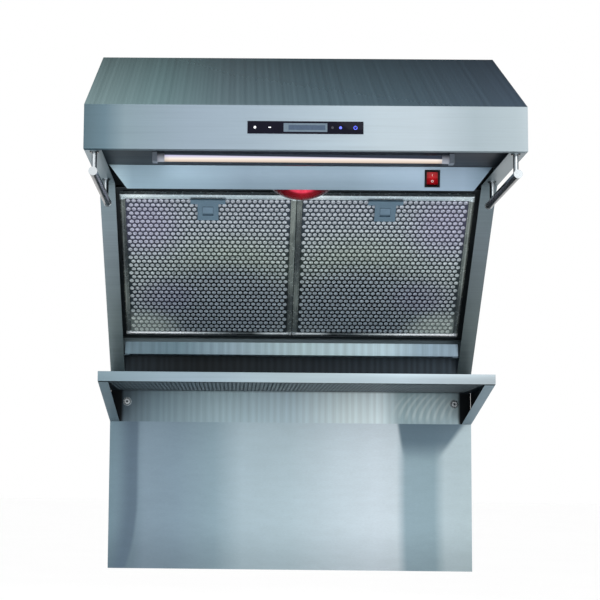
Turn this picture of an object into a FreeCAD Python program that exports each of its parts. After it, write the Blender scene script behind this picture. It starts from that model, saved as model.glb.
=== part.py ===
import FreeCAD, Part
import math
import os
from types import SimpleNamespace

import Sketcher

# Under cabinet range hood with a warming shelf and a backsplash.
# Frame, in millimetres: +X to the right as the cook sees it, +Y towards the wall, +Z up.
# The origin is the centre of the four cabinet screws, on the outside of the flat top.
# Depths are counted back from the front face; "at" turns a depth into a Y.

SIZES = {
    "body_width": 762.0, "body_depth": 610.0, "top_depth": 286.0, "body_height": 258.0,
    "face_height": 78.0, "canopy_depth": 288.0, "slope_drop": 345.0, "sheet": 1.2,
    "lip": 12.0, "flange": 30.0, "joint_gap": 0.3,
    "ceiling_level": 245.0, "ceiling_depth": 182.0, "panel_drop": 43.5, "panel_set_back": 8.0,
    "panel_top": 706.0, "panel_bottom": 640.0, "panel_return": 10.0,
    "bay_level": 215.0, "bay_front": 186.0, "bay_back": 321.0,
    "filter_size": 345.0, "filter_top": 36.0, "filter_recess": 18.0, "filter_thick": 12.0,
    "filter_bar": 11.0, "filter_gap": 1.0, "seat_gap": 2.0, "pivot_inset": 6.0,
    "cradle_gap": 0.6, "cradle_wall": 1.4, "pad_thick": 8.0,
    "latch_wide": 41.0, "latch_long": 46.0, "latch_bar": 68.0, "latch_bar_long": 9.0,
    "latch_thick": 5.0, "button_wide": 20.0, "button_long": 14.0, "latch_travel": 5.0,
    "tongue_wide": 13.0, "tongue_thick": 1.6,
    "trough_width": 697.0, "trough_depth": 34.0, "trough_front": 570.0, "trough_top": 536.0,
    "trough_bottom": 562.0,
    "tube_radius": 7.0, "tube_length": 517.0, "holder_long": 8.5, "tube_depth": 85.0, "tube_level": 253.8,
    "bulb_radius": 58.0, "bulb_x": 5.0, "bulb_depth": 252.0, "bulb_face": 294.0, "bulb_rim": 272.0,
    "rail_radius": 7.2, "rail_spacing": 728.0, "rail_level": 296.6, "rail_front": 2.0,
    "rail_back": 286.0, "post_radius": 4.5, "post_front": 22.0, "post_back": 250.0,
    "glass_wide": 199.0, "glass_high": 22.0, "glass_level": 219.0, "display_wide": 75.0,
    "display_high": 15.0,
    "switch_x": 243.0, "switch_wide": 28.0, "switch_high": 32.0, "switch_drop": 21.5,
    "shelf_front": 323.0, "shelf_lip_top": 617.0, "shelf_plate": 636.0, "shelf_foot": 702.0,
    "bracket_flange": 20.0, "bolt_spacing": 690.0, "bolt_level": 660.0, "bolt_radius": 6.0,
    "splash_top": 704.0, "splash_height": 305.0,
    "collar_radius": 75.5, "collar_height": 20.0, "damper_level": 9.5, "damper_pin": 2.0,
    "screw_span_x": 660.0, "screw_span_y": 200.0, "screw_hole": 3.25, "wall_span": 600.0,
    "wall_level": 60.0,
    "fan_depth": 470.0, "fan_level": 170.0, "scroll_radius": 112.0, "scroll_wide": 104.0,
    "scroll_inner": 62.0, "wheel_radius": 90.0, "wheel_wide": 90.0, "shaft_radius": 5.0,
    "motor_radius": 48.0, "motor_long": 90.0, "plenum_level": 56.0,
    "gland_x": 280.0, "gland_depth": 520.0, "gland_bore": 4.5,
}

doc = FreeCAD.newDocument("range_hood")
sheet = doc.addObject("Spreadsheet::Sheet", "Sizes")
for row, (alias, number) in enumerate(SIZES.items(), start=1):
    sheet.set("A%d" % row, alias)
    sheet.set("B%d" % row, "%r" % number)
    sheet.setAlias("B%d" % row, alias)
doc.recompute()


class Size:
    """A length with the sheet expression that gives it."""

    def __init__(self, value, text):
        self.value = value
        self.text = text

    def __add__(self, other):
        other = as_size(other)
        return Size(self.value + other.value, "(%s + %s)" % (self.text, other.text))

    def __sub__(self, other):
        other = as_size(other)
        return Size(self.value - other.value, "(%s - %s)" % (self.text, other.text))

    def __mul__(self, factor):
        factor = as_size(factor)
        return Size(self.value * factor.value, "(%s * %s)" % (self.text, factor.text))

    def __truediv__(self, divisor):
        divisor = as_size(divisor)
        return Size(self.value / divisor.value, "(%s / %s)" % (self.text, divisor.text))

    def __radd__(self, other):
        return as_size(other) + self

    def __rsub__(self, other):
        return as_size(other) - self

    def __rmul__(self, other):
        return self * other

    def __neg__(self):
        return Size(-self.value, "(0 - %s)" % self.text)


def as_size(thing):
    if isinstance(thing, Size):
        return thing
    return Size(float(thing), "(%.6f)" % thing)


dim = SimpleNamespace(**{name: Size(sheet.get(name), "Sizes." + name) for name in SIZES})

# Fixed details: small stock sizes that stay the same when the hood is resized.
DRILL = 4.0
COLLAR_SHEET = 1.2
CASING_SCREW = SimpleNamespace(hole=2.0, recess=3.8, shank=1.9, head=3.7, sunk=0.8, long=8.0)
COLLAR_SCREW = SimpleNamespace(hole=1.6, shank=1.5, head=3.0, head_high=2.0, reach=58.0)
WALL_SCREW_HOLE = 3.5
GLAND = SimpleNamespace(hole=8.0, body=7.8, body_long=26.0, below=12.0, nut=12.0, nut_high=6.0,
                        dome=9.5, dome_high=12.0)
JUNCTION = SimpleNamespace(half=45.0, deep=50.0, sheet=1.5, gap=0.1)
WINDOW = SimpleNamespace(margin=6.0, half_high=8.0)
SWITCH = SimpleNamespace(case=(12.2, 14.2), case_deep=18.0, rim=2.0, bore=(10.5, 13.2), bore_deep=14.0,
                         clearance=0.1, axis=4.0, pin=1.5, pin_gap=0.05, pin_half=11.5,
                         pin_hole_half=11.7, rocker_half=(10.2, 11.2), rocker_edge=2.0,
                         rocker_dip=0.2, rocker_deep=6.0, rocker_heel=3.5, lean=-8.0)
BULB = SimpleNamespace(hole=38.0, rim_high=10.0, flare_high=74.0, flare_top=20.0, neck=14.0,
                       neck_start=80.0, neck_long=30.0)
SOCKET = SimpleNamespace(radius=21.0, start=84.5, long=44.0, bore_start=84.0, bore_long=26.0)
BRIDGE = SimpleNamespace(half_top=34.0, lap=33.0, leg_in=42.0, leg_out=43.5, half_wide=12.0,
                         crown=128.5, thick=1.5)
DRIVER = SimpleNamespace(left=-160.0, right=-40.0, front=60.0, back=96.0, high=29.0)
HOLDER = SimpleNamespace(half_deep=9.0, below=8.5)
LATCH = SimpleNamespace(tuck=2.0, gap=0.4, well=15.0, button=15.6, slack=1.4, floor=1.0, proud=0.5,
                        button_floor=1.3, tongue_end=18.0, channel_end=16.0, tongue_floor=1.2)
SEAT = SimpleNamespace(start=24.0, past=14.0, window_x=(20.0, 330.0), window_y=(58.0, 362.0))
CRADLE = SimpleNamespace(clear=20.0, opening=6.4, tail=11.0)
LEDGE = SimpleNamespace(lap=9.0, start=11.0, wing=22.0)
RAIL = SimpleNamespace(wall=1.2, foot=8.0, foot_high=2.0, saddle=60.0, cap=3.0, cap_lip=0.5)
BOARD = SimpleNamespace(inset=8.0, half_high=11.0, start=4.0, thick=1.6)
HOUSING = SimpleNamespace(rim=2.0, half_high=13.0, front=1.2, back=14.0, wall=1.5)
BOLT = SimpleNamespace(hole=3.4, shank=3.2, head=4.8, washer=1.2, washer_lip=3.0)
KNUCKLE = SimpleNamespace(radius=3.6, gap=0.06, tab=6.0, flap_gap=4.6, flap_inset=3.2, thick=1.0,
                          left=((-52, -36), (18, 34)), right=((-35, -19), (35, 51)))
WHEEL = SimpleNamespace(plate=2.0, hub=12.0, hub_long=18.0, rim=14.0, blades=30, blade_reach=15.0,
                        blade_inset=0.4, inlet=66.0)
MOTOR = SimpleNamespace(bore_gap=0.05, shaft_inset=12.0, hanger=(30.0, 34.0), hanger_low=20.0,
                        relief=(24.0, 40.0), relief_low=52.0, relief_roof=6.0)
PLENUM = SimpleNamespace(side=6.0, front=-82.0, back=4.0)
half_width = dim.body_width / 2
back = dim.top_depth / 2
front = back - dim.body_depth
inner_half = half_width - dim.sheet
top_front = dim.body_depth - dim.top_depth
slope_ratio = dim.slope_drop / (dim.body_depth - dim.canopy_depth)
slope_angle = math.degrees(math.atan(slope_ratio.value))


def at(depth):
    """The Y of a depth behind the front face."""
    return front + depth


# ---------------------------------------------------------------- helpers

nodes = []


def node(obj, label):
    """Name a finished sub-part: its label is the name of its file."""
    obj.Label = label
    nodes.append(obj)
    return obj


def shift(obj, x=0, y=0, z=0):
    """Bind an object's position to sheet expressions."""
    for axis, size in zip("xyz", (x, y, z)):
        obj.setExpression("Placement.Base." + axis, as_size(size).text)
    return obj


def incline(obj, y, z, angle):
    """Tip an object so that its own +Y runs down and back, and put its origin at y, z."""
    if obj.isDerivedFrom("Part::Primitive"):
        obj = group(obj.Name + "_set", obj)
    turned = FreeCAD.Rotation(FreeCAD.Vector(1, 0, 0), -angle)
    obj.Placement = FreeCAD.Placement(FreeCAD.Vector(0, as_size(y).value, as_size(z).value), turned)
    return shift(obj, 0, y, z)


def box(name, x0, x1, y0, y1, z0, z1):
    """A block between two corners."""
    obj = doc.addObject("Part::Box", name)
    low = [as_size(size) for size in (x0, y0, z0)]
    high = [as_size(size) for size in (x1, y1, z1)]
    for field, start, end in zip(("Length", "Width", "Height"), low, high):
        obj.setExpression(field, (end - start).text)
    return shift(obj, *low)


AXES = {"x": (FreeCAD.Vector(0, 1, 0), 90), "y": (FreeCAD.Vector(1, 0, 0), -90),
        "z": (FreeCAD.Vector(0, 0, 1), 0)}


def rod(name, axis, radius, length, x, y, z, sweep=360):
    """A cylinder that starts at x, y, z and runs along +axis."""
    obj = doc.addObject("Part::Cylinder", name)
    obj.Placement = FreeCAD.Placement(FreeCAD.Vector(), FreeCAD.Rotation(*AXES[axis]))
    obj.setExpression("Radius", as_size(radius).text)
    obj.setExpression("Height", as_size(length).text)
    obj.Angle = sweep
    return shift(obj, x, y, z)


def cut(name, base, *tools):
    """The base with every tool taken away."""
    tool = tools[0]
    if len(tools) > 1:
        tool = fuse(name + "_tools", *tools)
    obj = doc.addObject("Part::Cut", name)
    obj.Base = base
    obj.Tool = tool
    return obj


def fuse(name, *shapes):
    obj = doc.addObject("Part::MultiFuse", name)
    obj.Shapes = list(shapes)
    return obj


def group(name, *shapes):
    """Separate solids of one kind, kept together in one sub-part."""
    obj = doc.addObject("Part::Compound", name)
    obj.Links = list(shapes)
    return obj


def plane_of(body, role):
    return next(item for item in body.Origin.OriginFeatures if item.Role == role)


def hold(sketch, kind, line, point, size):
    """Hold one coordinate of a sketch point at a sheet expression."""
    size = as_size(size)
    index = sketch.addConstraint(Sketcher.Constraint(kind, -1, 1, line, point, size.value))
    sketch.setExpression("Constraints[%d]" % index, size.text)


def draw_loop(sketch, corners):
    """A closed outline with every corner held by the sheet."""
    corners = [(as_size(across), as_size(up)) for across, up in corners]
    first = sketch.GeometryCount
    ends = corners[1:] + corners[:1]
    for start, end in zip(corners, ends):
        a = FreeCAD.Vector(start[0].value, start[1].value, 0)
        b = FreeCAD.Vector(end[0].value, end[1].value, 0)
        sketch.addGeometry(Part.LineSegment(a, b), False)
    for step, (across, up) in enumerate(corners):
        line = first + step
        following = first + (step + 1) % len(corners)
        sketch.addConstraint(Sketcher.Constraint("Coincident", line, 2, following, 1))
        hold(sketch, "DistanceX", line, 1, across)
        hold(sketch, "DistanceY", line, 1, up)


def draw_circle(sketch, across, up, radius):
    centre = FreeCAD.Vector(as_size(across).value, as_size(up).value, 0)
    normal = FreeCAD.Vector(0, 0, 1)
    size = as_size(radius)
    line = sketch.addGeometry(Part.Circle(centre, normal, size.value), False)
    hold(sketch, "DistanceX", line, 3, across)
    hold(sketch, "DistanceY", line, 3, up)
    index = sketch.addConstraint(Sketcher.Constraint("Radius", line, size.value))
    sketch.setExpression("Constraints[%d]" % index, size.text)


def new_sketch(body, name, role):
    sketch = body.newObject("Sketcher::SketchObject", name)
    sketch.AttachmentSupport = [(plane_of(body, role), "")]
    sketch.MapMode = "FlatFace"
    return sketch


def pad(body, sketch, length, kind="Pad", reverse=False):
    feature = body.newObject("PartDesign::" + kind, sketch.Name + "_" + kind.lower())
    feature.Profile = sketch
    feature.Reversed = reverse
    feature.setExpression("Length", as_size(length).text)
    return feature


def extrusion(name, role, length, loops, circles=()):
    """A body padded from one sketch on an origin plane."""
    body = doc.addObject("PartDesign::Body", name)
    sketch = new_sketch(body, name + "_sketch", role)
    for corners in loops:
        draw_loop(sketch, corners)
    for circle in circles:
        draw_circle(sketch, *circle)
    pad(body, sketch, length)
    return body


def offset_path(points, thickness, side):
    """The path moved sideways by a sheet thickness, with mitred corners."""
    points = [(as_size(a), as_size(b)) for a, b in points]
    normals = []
    for (a0, b0), (a1, b1) in zip(points, points[1:]):
        run = math.hypot(a1.value - a0.value, b1.value - b0.value)
        normals.append((-side * (b1.value - b0.value) / run, side * (a1.value - a0.value) / run))
    moved = []
    for step, (a, b) in enumerate(points):
        before = normals[max(step - 1, 0)]
        after = normals[min(step, len(normals) - 1)]
        share = 1 + before[0] * after[0] + before[1] * after[1]
        along = (before[0] + after[0]) / share
        up = (before[1] + after[1]) / share
        moved.append((a + thickness * along, b + thickness * up))
    return moved


def folded(points, side, thickness=None):
    """The outline of a folded sheet whose outer face follows the points."""
    thickness = thickness or dim.sheet
    return list(points) + offset_path(points, thickness, side)[::-1]


def folded_sheet(name, points, side, half_length, thickness=None):
    """A folded sheet that runs from -half_length to +half_length along X."""
    body = extrusion(name, "YZ_Plane", half_length * 2, [folded(points, side, thickness)])
    return shift(body, -half_length)


def mirrored(maker):
    """Make a left and a right sub-part from one function."""
    for side, sign in (("left", -1), ("right", 1)):
        maker(side, sign)


def span(sign, near, far):
    """An X interval from near to far on the left or the right side, in rising order."""
    ends = (as_size(near) * sign, as_size(far) * sign)
    return ends if sign > 0 else ends[::-1]


# ---------------------------------------------------------------- casing

def outer_profile():
    """The outside of the casing from the bottom of the face up and back, down to its foot."""
    return [(at(0), -dim.body_height), (at(0), dim.face_height - dim.body_height),
            (at(top_front), as_size(0)), (back, as_size(0)),
            (back, -dim.body_height - dim.slope_drop)]


def slope_level(depth):
    """The level of the sloped opening's plane at a depth."""
    return -dim.body_height - (depth - dim.canopy_depth) * slope_ratio


def make_front_panel():
    points = [(at(top_front), as_size(0)), (at(0), dim.face_height - dim.body_height),
              (at(0), -dim.body_height), (at(dim.lip), -dim.body_height)]
    shell = folded_sheet("FrontShell", points, 1, half_width)
    window = box("DisplayWindow", WINDOW.margin - dim.glass_wide / 2, dim.glass_wide / 2 - WINDOW.margin,
                 at(-1), at(5), -dim.glass_level - WINDOW.half_high, WINDOW.half_high - dim.glass_level)
    node(cut("FrontPanel", shell, window), "front_panel")


CASING_SCREWS = [(side * 371.0, depth) for side in (-1, 1) for depth in (342.0, 466.0, 590.0)]
COLLAR_ENDS = (-COLLAR_SCREW.reach, COLLAR_SCREW.reach)
COLLAR_SCREWS = [(x, y) for x in COLLAR_ENDS for y in COLLAR_ENDS]


def make_top_panel():
    plate = box("TopPlate", -half_width, half_width, at(top_front + dim.sheet), back - dim.sheet,
                -dim.sheet, 0)
    low = -DRILL / 2
    duct = rod("TopDuctHole", "z", dim.collar_radius - COLLAR_SHEET, DRILL, 0, 0, low)
    gland = rod("TopGlandHole", "z", GLAND.hole, DRILL, dim.gland_x, at(dim.gland_depth), low)
    holes = [duct, gland]
    for x in (-1, 1):
        for y in (-1, 1):
            holes.append(rod("CabinetHole", "z", dim.screw_hole, DRILL, dim.screw_span_x / 2 * x,
                             dim.screw_span_y / 2 * y, low))
    for x, depth in CASING_SCREWS:
        holes.append(rod("CasingHole", "z", CASING_SCREW.hole, DRILL, x, at(depth), low))
        holes.append(rod("CasingRecess", "z", CASING_SCREW.recess, DRILL / 2, x, at(depth),
                         -CASING_SCREW.sunk))
    for x, y in COLLAR_SCREWS:
        holes.append(rod("CollarHole", "z", COLLAR_SCREW.hole, DRILL, x, y, low))
    node(cut("TopPanel", plate, *holes), "top_panel")


def make_back_panel():
    plate = box("BackPlate", -half_width, half_width, back - dim.sheet, back,
                -dim.body_height - dim.slope_drop, 0)
    holes = [rod("WallHole", "y", WALL_SCREW_HOLE, DRILL, dim.wall_span / 2 * side, back - 3,
                 -dim.wall_level) for side in (-1, 1)]
    node(cut("BackPanel", plate, *holes), "back_panel")


def make_side_panel(side, sign):
    wall = offset_path(outer_profile(), dim.sheet, -1)
    foot = slope_level(dim.body_depth - dim.sheet)
    lip_end = at(dim.lip + dim.joint_gap)
    wall[0] = (at(dim.sheet), dim.sheet - dim.body_height)
    wall[-1] = (back - dim.sheet, foot)
    wall += [(at(dim.canopy_depth), -dim.body_height), (lip_end, -dim.body_height),
             (lip_end, dim.sheet - dim.body_height)]
    body = doc.addObject("PartDesign::Body", "SidePanel" + side)
    plate = new_sketch(body, "SideWall" + side, "YZ_Plane")
    draw_loop(plate, wall)
    pad(body, plate, dim.sheet, reverse=sign > 0)
    end = dim.body_depth - dim.sheet * 3
    edge = [(lip_end, -dim.body_height), (at(dim.canopy_depth), -dim.body_height),
            (at(end), slope_level(end))]
    strip = new_sketch(body, "SideFlange" + side, "YZ_Plane")
    draw_loop(strip, folded(edge, 1))
    pad(body, strip, dim.flange, reverse=sign > 0)
    node(shift(body, half_width * sign), "side_panel_" + side)


def make_ceiling():
    level = -dim.ceiling_level
    points = [(at(4), level + 9), (at(4), level), (at(dim.ceiling_depth), level)]
    node(folded_sheet("Ceiling", points, 1, inner_half - dim.joint_gap), "canopy_ceiling")


def make_lamp_bay():
    points = [(at(dim.bay_front), 1.5 - dim.ceiling_level), (at(dim.bay_front), -dim.bay_level),
              (at(dim.bay_back), -dim.bay_level), (at(dim.bay_back), -dim.body_height + 2),
              (at(dim.bay_back - 9), -dim.body_height - 4)]
    pan = folded_sheet("BayPan", points, -1, inner_half - dim.joint_gap)
    hole = rod("BulbHole", "z", BULB.hole, 10, dim.bulb_x, at(dim.bulb_depth), -dim.bay_level - 5)
    node(cut("LampBay", pan, hole), "lamp_bay")


# ---------------------------------------------------------------- switch panel

panel_angle = 90 - math.degrees(math.atan(dim.panel_set_back.value / dim.panel_drop.value))


def on_switch_panel(obj):
    """Local +Y runs down the switch panel and local +Z is behind it."""
    return incline(obj, at(dim.ceiling_depth + 2), -dim.ceiling_level, panel_angle)


def make_switch_panel():
    body = doc.addObject("PartDesign::Body", "SwitchPanel")
    top = dim.panel_top / 2
    bottom = dim.panel_bottom / 2
    thin = dim.sheet
    outline = new_sketch(body, "SwitchPanelOutline", "XY_Plane")
    draw_loop(outline, [(-top, as_size(0)), (top, as_size(0)), (bottom, dim.panel_drop),
                        (-bottom, dim.panel_drop)])
    pad(body, outline, dim.panel_return)
    doc.recompute()
    hollow = new_sketch(body, "SwitchPanelHollow", "XY_Plane")
    hollow.AttachmentOffset = FreeCAD.Placement(FreeCAD.Vector(0, 0, thin.value), FreeCAD.Rotation())
    draw_loop(hollow, [(thin * 1.5 - top, as_size(-1)), (top - thin * 1.5, as_size(-1)),
                       (bottom - thin * 1.5, dim.panel_drop - thin),
                       (thin * 1.5 - bottom, dim.panel_drop - thin)])
    pad(body, hollow, dim.panel_return, kind="Pocket", reverse=True)
    half_x, half_y = (size + SWITCH.clearance for size in SWITCH.case)
    opening = box("SwitchCutout", dim.switch_x - half_x, dim.switch_x + half_x,
                  dim.switch_drop - half_y, dim.switch_drop + half_y, -DRILL / 2, DRILL)
    node(on_switch_panel(cut("SwitchPanelCut", body, opening)), "switch_panel")


def make_switch():
    x = dim.switch_x
    y = dim.switch_drop
    axis = SWITCH.axis
    rim = box("BezelRim", x - dim.switch_wide / 2, x + dim.switch_wide / 2, y - dim.switch_high / 2,
              y + dim.switch_high / 2, -SWITCH.rim, 0)
    half_x, half_y = SWITCH.case
    case = box("BezelCase", x - half_x, x + half_x, y - half_y, y + half_y, 0, SWITCH.case_deep)
    half_x, half_y = SWITCH.bore
    hollow = box("BezelHollow", x - half_x, x + half_x, y - half_y, y + half_y, -SWITCH.rim - 1,
                 SWITCH.bore_deep)
    seat = rod("BezelPinHoles", "x", SWITCH.pin + SWITCH.pin_gap, SWITCH.pin_hole_half * 2,
               x - SWITCH.pin_hole_half, y, axis)
    bezel = cut("SwitchBezel", fuse("BezelSolid", rim, case), hollow, seat)
    node(on_switch_panel(bezel), "switch_bezel")
    wide, half = SWITCH.rocker_half
    tip = SWITCH.rocker_deep
    edge = -SWITCH.rocker_edge
    profile = [(-half, edge), (0, -SWITCH.rocker_dip), (half, edge), (half, tip),
               (0, tip + SWITCH.rocker_heel), (-half, tip)]
    lean = math.radians(SWITCH.lean)
    turned = []
    for across, deep in profile:
        rise = deep - axis
        turned.append((y + across * math.cos(lean) - rise * math.sin(lean),
                       axis + across * math.sin(lean) + rise * math.cos(lean)))
    lens = extrusion("RockerLens", "YZ_Plane", wide * 2, [turned])
    shift(lens, x - wide)
    pins = rod("RockerPins", "x", SWITCH.pin, SWITCH.pin_half * 2, x - SWITCH.pin_half, y, axis)
    node(on_switch_panel(fuse("Rocker", lens, pins)), "switch_rocker")


# ---------------------------------------------------------------- lamps

def make_tube_lamp():
    depth = dim.tube_depth
    half = dim.tube_length / 2
    tube = rod("Tube", "x", dim.tube_radius, dim.tube_length, -half, at(depth), -dim.tube_level)
    node(tube, "lamp_tube")
    y0, y1 = at(depth - HOLDER.half_deep), at(depth + HOLDER.half_deep)
    holders = [box("Holder", *span(sign, half, half + dim.holder_long), y0, y1,
                   -dim.tube_level - HOLDER.below, -dim.ceiling_level) for sign in (-1, 1)]
    node(group("LampHolders", *holders), "lamp_end_holders")
    driver = box("Driver", DRIVER.left, DRIVER.right, at(DRIVER.front), at(DRIVER.back),
                 dim.sheet - dim.ceiling_level, DRIVER.high - dim.ceiling_level)
    node(driver, "lamp_driver")


def make_heat_lamp():
    y = at(dim.bulb_depth)
    sagitta = dim.bulb_face - dim.bulb_rim
    ball = (dim.bulb_radius * dim.bulb_radius + sagitta * sagitta) / (sagitta * 2)
    face = doc.addObject("Part::Sphere", "BulbFace")
    face.setExpression("Radius", ball.text)
    face.Angle1 = -90
    face.Angle2 = -math.degrees(math.acos(dim.bulb_radius.value / ball.value))
    shift(face, 0, y, ball - dim.bulb_face)
    base = -dim.bulb_rim
    rim = rod("BulbRim", "z", dim.bulb_radius, BULB.rim_high, 0, y, base)
    flare = doc.addObject("Part::Cone", "BulbFlare")
    flare.setExpression("Radius1", dim.bulb_radius.text)
    flare.Radius2 = BULB.flare_top
    flare.Height = BULB.flare_high
    shift(flare, 0, y, base + BULB.rim_high)
    neck = rod("BulbNeck", "z", BULB.neck, BULB.neck_long, 0, y, base + BULB.neck_start)
    node(shift(fuse("Bulb", face, rim, flare, neck), dim.bulb_x), "heat_lamp_bulb")
    socket = rod("SocketBody", "z", SOCKET.radius, SOCKET.long, 0, y, base + SOCKET.start)
    bore = rod("SocketBore", "z", BULB.neck, SOCKET.bore_long, 0, y, base + SOCKET.bore_start)
    node(shift(cut("Socket", socket, bore), dim.bulb_x), "heat_lamp_socket")
    foot = dim.sheet - dim.bay_level
    crown = base + BRIDGE.crown
    roof = crown + BRIDGE.thick
    y0, y1 = y - BRIDGE.half_wide, y + BRIDGE.half_wide
    bridge = box("BridgeTop", -BRIDGE.half_top, BRIDGE.half_top, y0, y1, crown, roof)
    legs = [box("BridgeLeg", *span(sign, BRIDGE.leg_in, BRIDGE.leg_out), y0, y1, foot, roof)
            for sign in (-1, 1)]
    arms = [box("BridgeArm", *span(sign, BRIDGE.lap, BRIDGE.leg_out), y0, y1, crown, roof)
            for sign in (-1, 1)]
    node(shift(fuse("Bridge", bridge, *legs, *arms), dim.bulb_x), "heat_lamp_bracket")


# ---------------------------------------------------------------- filters

def on_slope(obj):
    """Local +Y runs down the sloped opening, +Z inwards; local z = 0 is the flange plane."""
    return incline(obj, at(dim.canopy_depth), -dim.body_height, slope_angle)


filter_end = dim.filter_top + dim.filter_size
pivot_y = filter_end - dim.pivot_inset
pivot_z = dim.filter_recess + dim.pivot_inset
filter_back = dim.filter_recess + dim.filter_thick


def make_filter(side, sign):
    x0, x1 = span(sign, dim.filter_gap / 2, dim.filter_gap / 2 + dim.filter_size)
    bar = dim.filter_bar
    slab = box("FilterSlab", x0, x1, dim.filter_top, pivot_y, dim.filter_recess, filter_back)
    heel = rod("FilterHeel", "x", dim.pivot_inset, dim.filter_size, x0, pivot_y, pivot_z)
    window = box("FilterWindow", x0 + bar, x1 - bar, dim.filter_top + bar, filter_end - bar,
                 dim.filter_recess - 1, filter_back + 1)
    frame = cut("FilterFrame" + side, fuse("FilterRing" + side, slab, heel), window)
    node(on_slope(frame), "filter_frame_" + side)
    face_z = dim.filter_recess + 1
    window_size = (x0 + bar, x1 - bar, dim.filter_top + bar, filter_end - bar)
    node(on_slope(box("Face" + side, *window_size, face_z, face_z + 1)), "filter_face_" + side)
    pad_box = box("Pad" + side, *window_size, face_z + 1, face_z + 1 + dim.pad_thick)
    node(on_slope(pad_box), "filter_mesh_" + side)
    make_latch(side, (x0 + x1) / 2)


def make_latch(side, x):
    top = dim.filter_top + dim.filter_bar - LATCH.tuck
    outer = dim.filter_recess - dim.latch_thick
    bar = box("LatchBar", x - dim.latch_bar / 2, x + dim.latch_bar / 2, top,
              top + dim.latch_bar_long, outer, dim.filter_recess)
    plate = box("LatchPlate", x - dim.latch_wide / 2, x + dim.latch_wide / 2, top,
                top + dim.latch_long, outer, dim.filter_recess)
    half = dim.button_wide / 2
    well_end = top + LATCH.well + dim.button_long + dim.latch_travel + LATCH.slack
    well = box("LatchWell", x - half - LATCH.gap, x + half + LATCH.gap, top + LATCH.well, well_end,
               outer - 1, dim.filter_recess - LATCH.floor)
    button = box("LatchButton", x - half, x + half, top + LATCH.button,
                 top + LATCH.button + dim.button_long, outer - LATCH.proud,
                 dim.filter_recess - LATCH.button_floor)
    half = dim.tongue_wide / 2
    tongue_z = dim.filter_recess - LATCH.floor - dim.tongue_thick
    channel = box("LatchChannel", x - half - LATCH.gap, x + half + LATCH.gap, top - 1,
                  top + LATCH.channel_end, tongue_z - LATCH.gap,
                  dim.filter_recess - LATCH.floor + LATCH.gap)
    tongue = box("LatchTongue", x - half, x + half, top + LATCH.gap, top + LATCH.tongue_end,
                 tongue_z, dim.filter_recess - LATCH.tongue_floor)
    housing = cut("LatchHousing" + side, fuse("LatchSolid" + side, bar, plate), well, channel)
    node(on_slope(housing), "filter_latch_" + side)
    node(on_slope(fuse("LatchSlider" + side, button, tongue)), "latch_slider_" + side)


def slope_point(along, inward):
    """The Y and Z of a point given along the sloped opening and square to it, inwards."""
    tilt = math.radians(slope_angle)
    y = at(dim.canopy_depth) + along * math.cos(tilt) + inward * math.sin(tilt)
    z = inward * math.cos(tilt) - along * math.sin(tilt) - dim.body_height
    return y, z


def make_filter_seat():
    """The sheet behind the filters, folded level at its foot to meet the back panel."""
    seat_z = filter_back + dim.seat_gap
    bend = slope_point(filter_end + SEAT.past, seat_z)
    path = [slope_point(as_size(SEAT.start), seat_z), bend, (back - dim.sheet, bend[1])]
    plate = folded_sheet("SeatSheet", path, 1, inner_half - dim.joint_gap)
    windows = [on_slope(box("SeatWindow", *span(sign, *SEAT.window_x), *SEAT.window_y, seat_z - DRILL,
                            seat_z + DRILL)) for sign in (-1, 1)]
    node(cut("FilterSeat", plate, *windows), "filter_seat")


def make_filter_cradle():
    """A part-round channel about the filters' lower edges, which turn in it."""
    inner = dim.pivot_inset + dim.cradle_gap
    outer = inner + dim.cradle_wall
    length = dim.filter_size * 2 + dim.filter_gap
    tube = rod("CradleTube", "x", outer, length, -length / 2, pivot_y, pivot_z)
    bore = rod("CradleBore", "x", inner, length + 2, -length / 2 - 1, pivot_y, pivot_z)
    reach = CRADLE.clear
    behind = box("CradleOpenSide", -length / 2 - 1, length / 2 + 1, pivot_y - reach, pivot_y,
                 pivot_z - reach, pivot_z + reach)
    below = box("CradleOpenFront", -length / 2 - 1, length / 2 + 1, pivot_y - 1, pivot_y + reach,
                pivot_z - reach, pivot_z - CRADLE.opening)
    tail = box("CradleTail", -length / 2, length / 2, pivot_y, filter_end + CRADLE.tail,
               pivot_z + inner, pivot_z + outer)
    shell = cut("CradleShell", tube, bore, behind, below)
    node(on_slope(fuse("Cradle", shell, tail)), "filter_cradle")


# ---------------------------------------------------------------- grease trough

def make_trough():
    half = dim.trough_width / 2
    front_y = at(dim.trough_front)
    block = box("TroughBlock", -half, half, front_y, front_y + dim.trough_depth,
                -dim.trough_bottom, -dim.trough_top)
    thin = dim.sheet
    hollow = box("TroughHollow", thin - half, half - thin, front_y + thin,
                 front_y + dim.trough_depth - thin, thin - dim.trough_bottom, 1 - dim.trough_top)
    node(cut("Trough", block, hollow), "grease_trough")
    level = -dim.trough_bottom - dim.joint_gap
    ledges = []
    for sign in (-1, 1):
        y0, y1 = front_y + LEDGE.start, front_y + dim.trough_depth
        x0, x1 = span(sign, half - LEDGE.lap, inner_half)
        shelf = box("Ledge", x0, x1, y0, y1, level - thin, level)
        x0, x1 = span(sign, inner_half - thin, inner_half)
        wing = box("LedgeWing", x0, x1, y0, y1, level - thin, level + LEDGE.wing)
        ledges.append(fuse("LedgePiece", shelf, wing))
    node(group("TroughLedges", *ledges), "trough_ledges")


# ---------------------------------------------------------------- utensil rails

def make_rail(side, sign):
    x = dim.rail_spacing / 2 * sign
    start = at(dim.rail_front + RAIL.cap)
    length = dim.rail_back - dim.rail_front - RAIL.cap * 2
    tube = rod("RailTube", "y", dim.rail_radius, length, x, start, -dim.rail_level)
    bore = rod("RailBore", "y", dim.rail_radius - RAIL.wall, length + 2, x, start - 1, -dim.rail_level)
    node(cut("Rail" + side, tube, bore), "utensil_rail_" + side)


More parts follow.
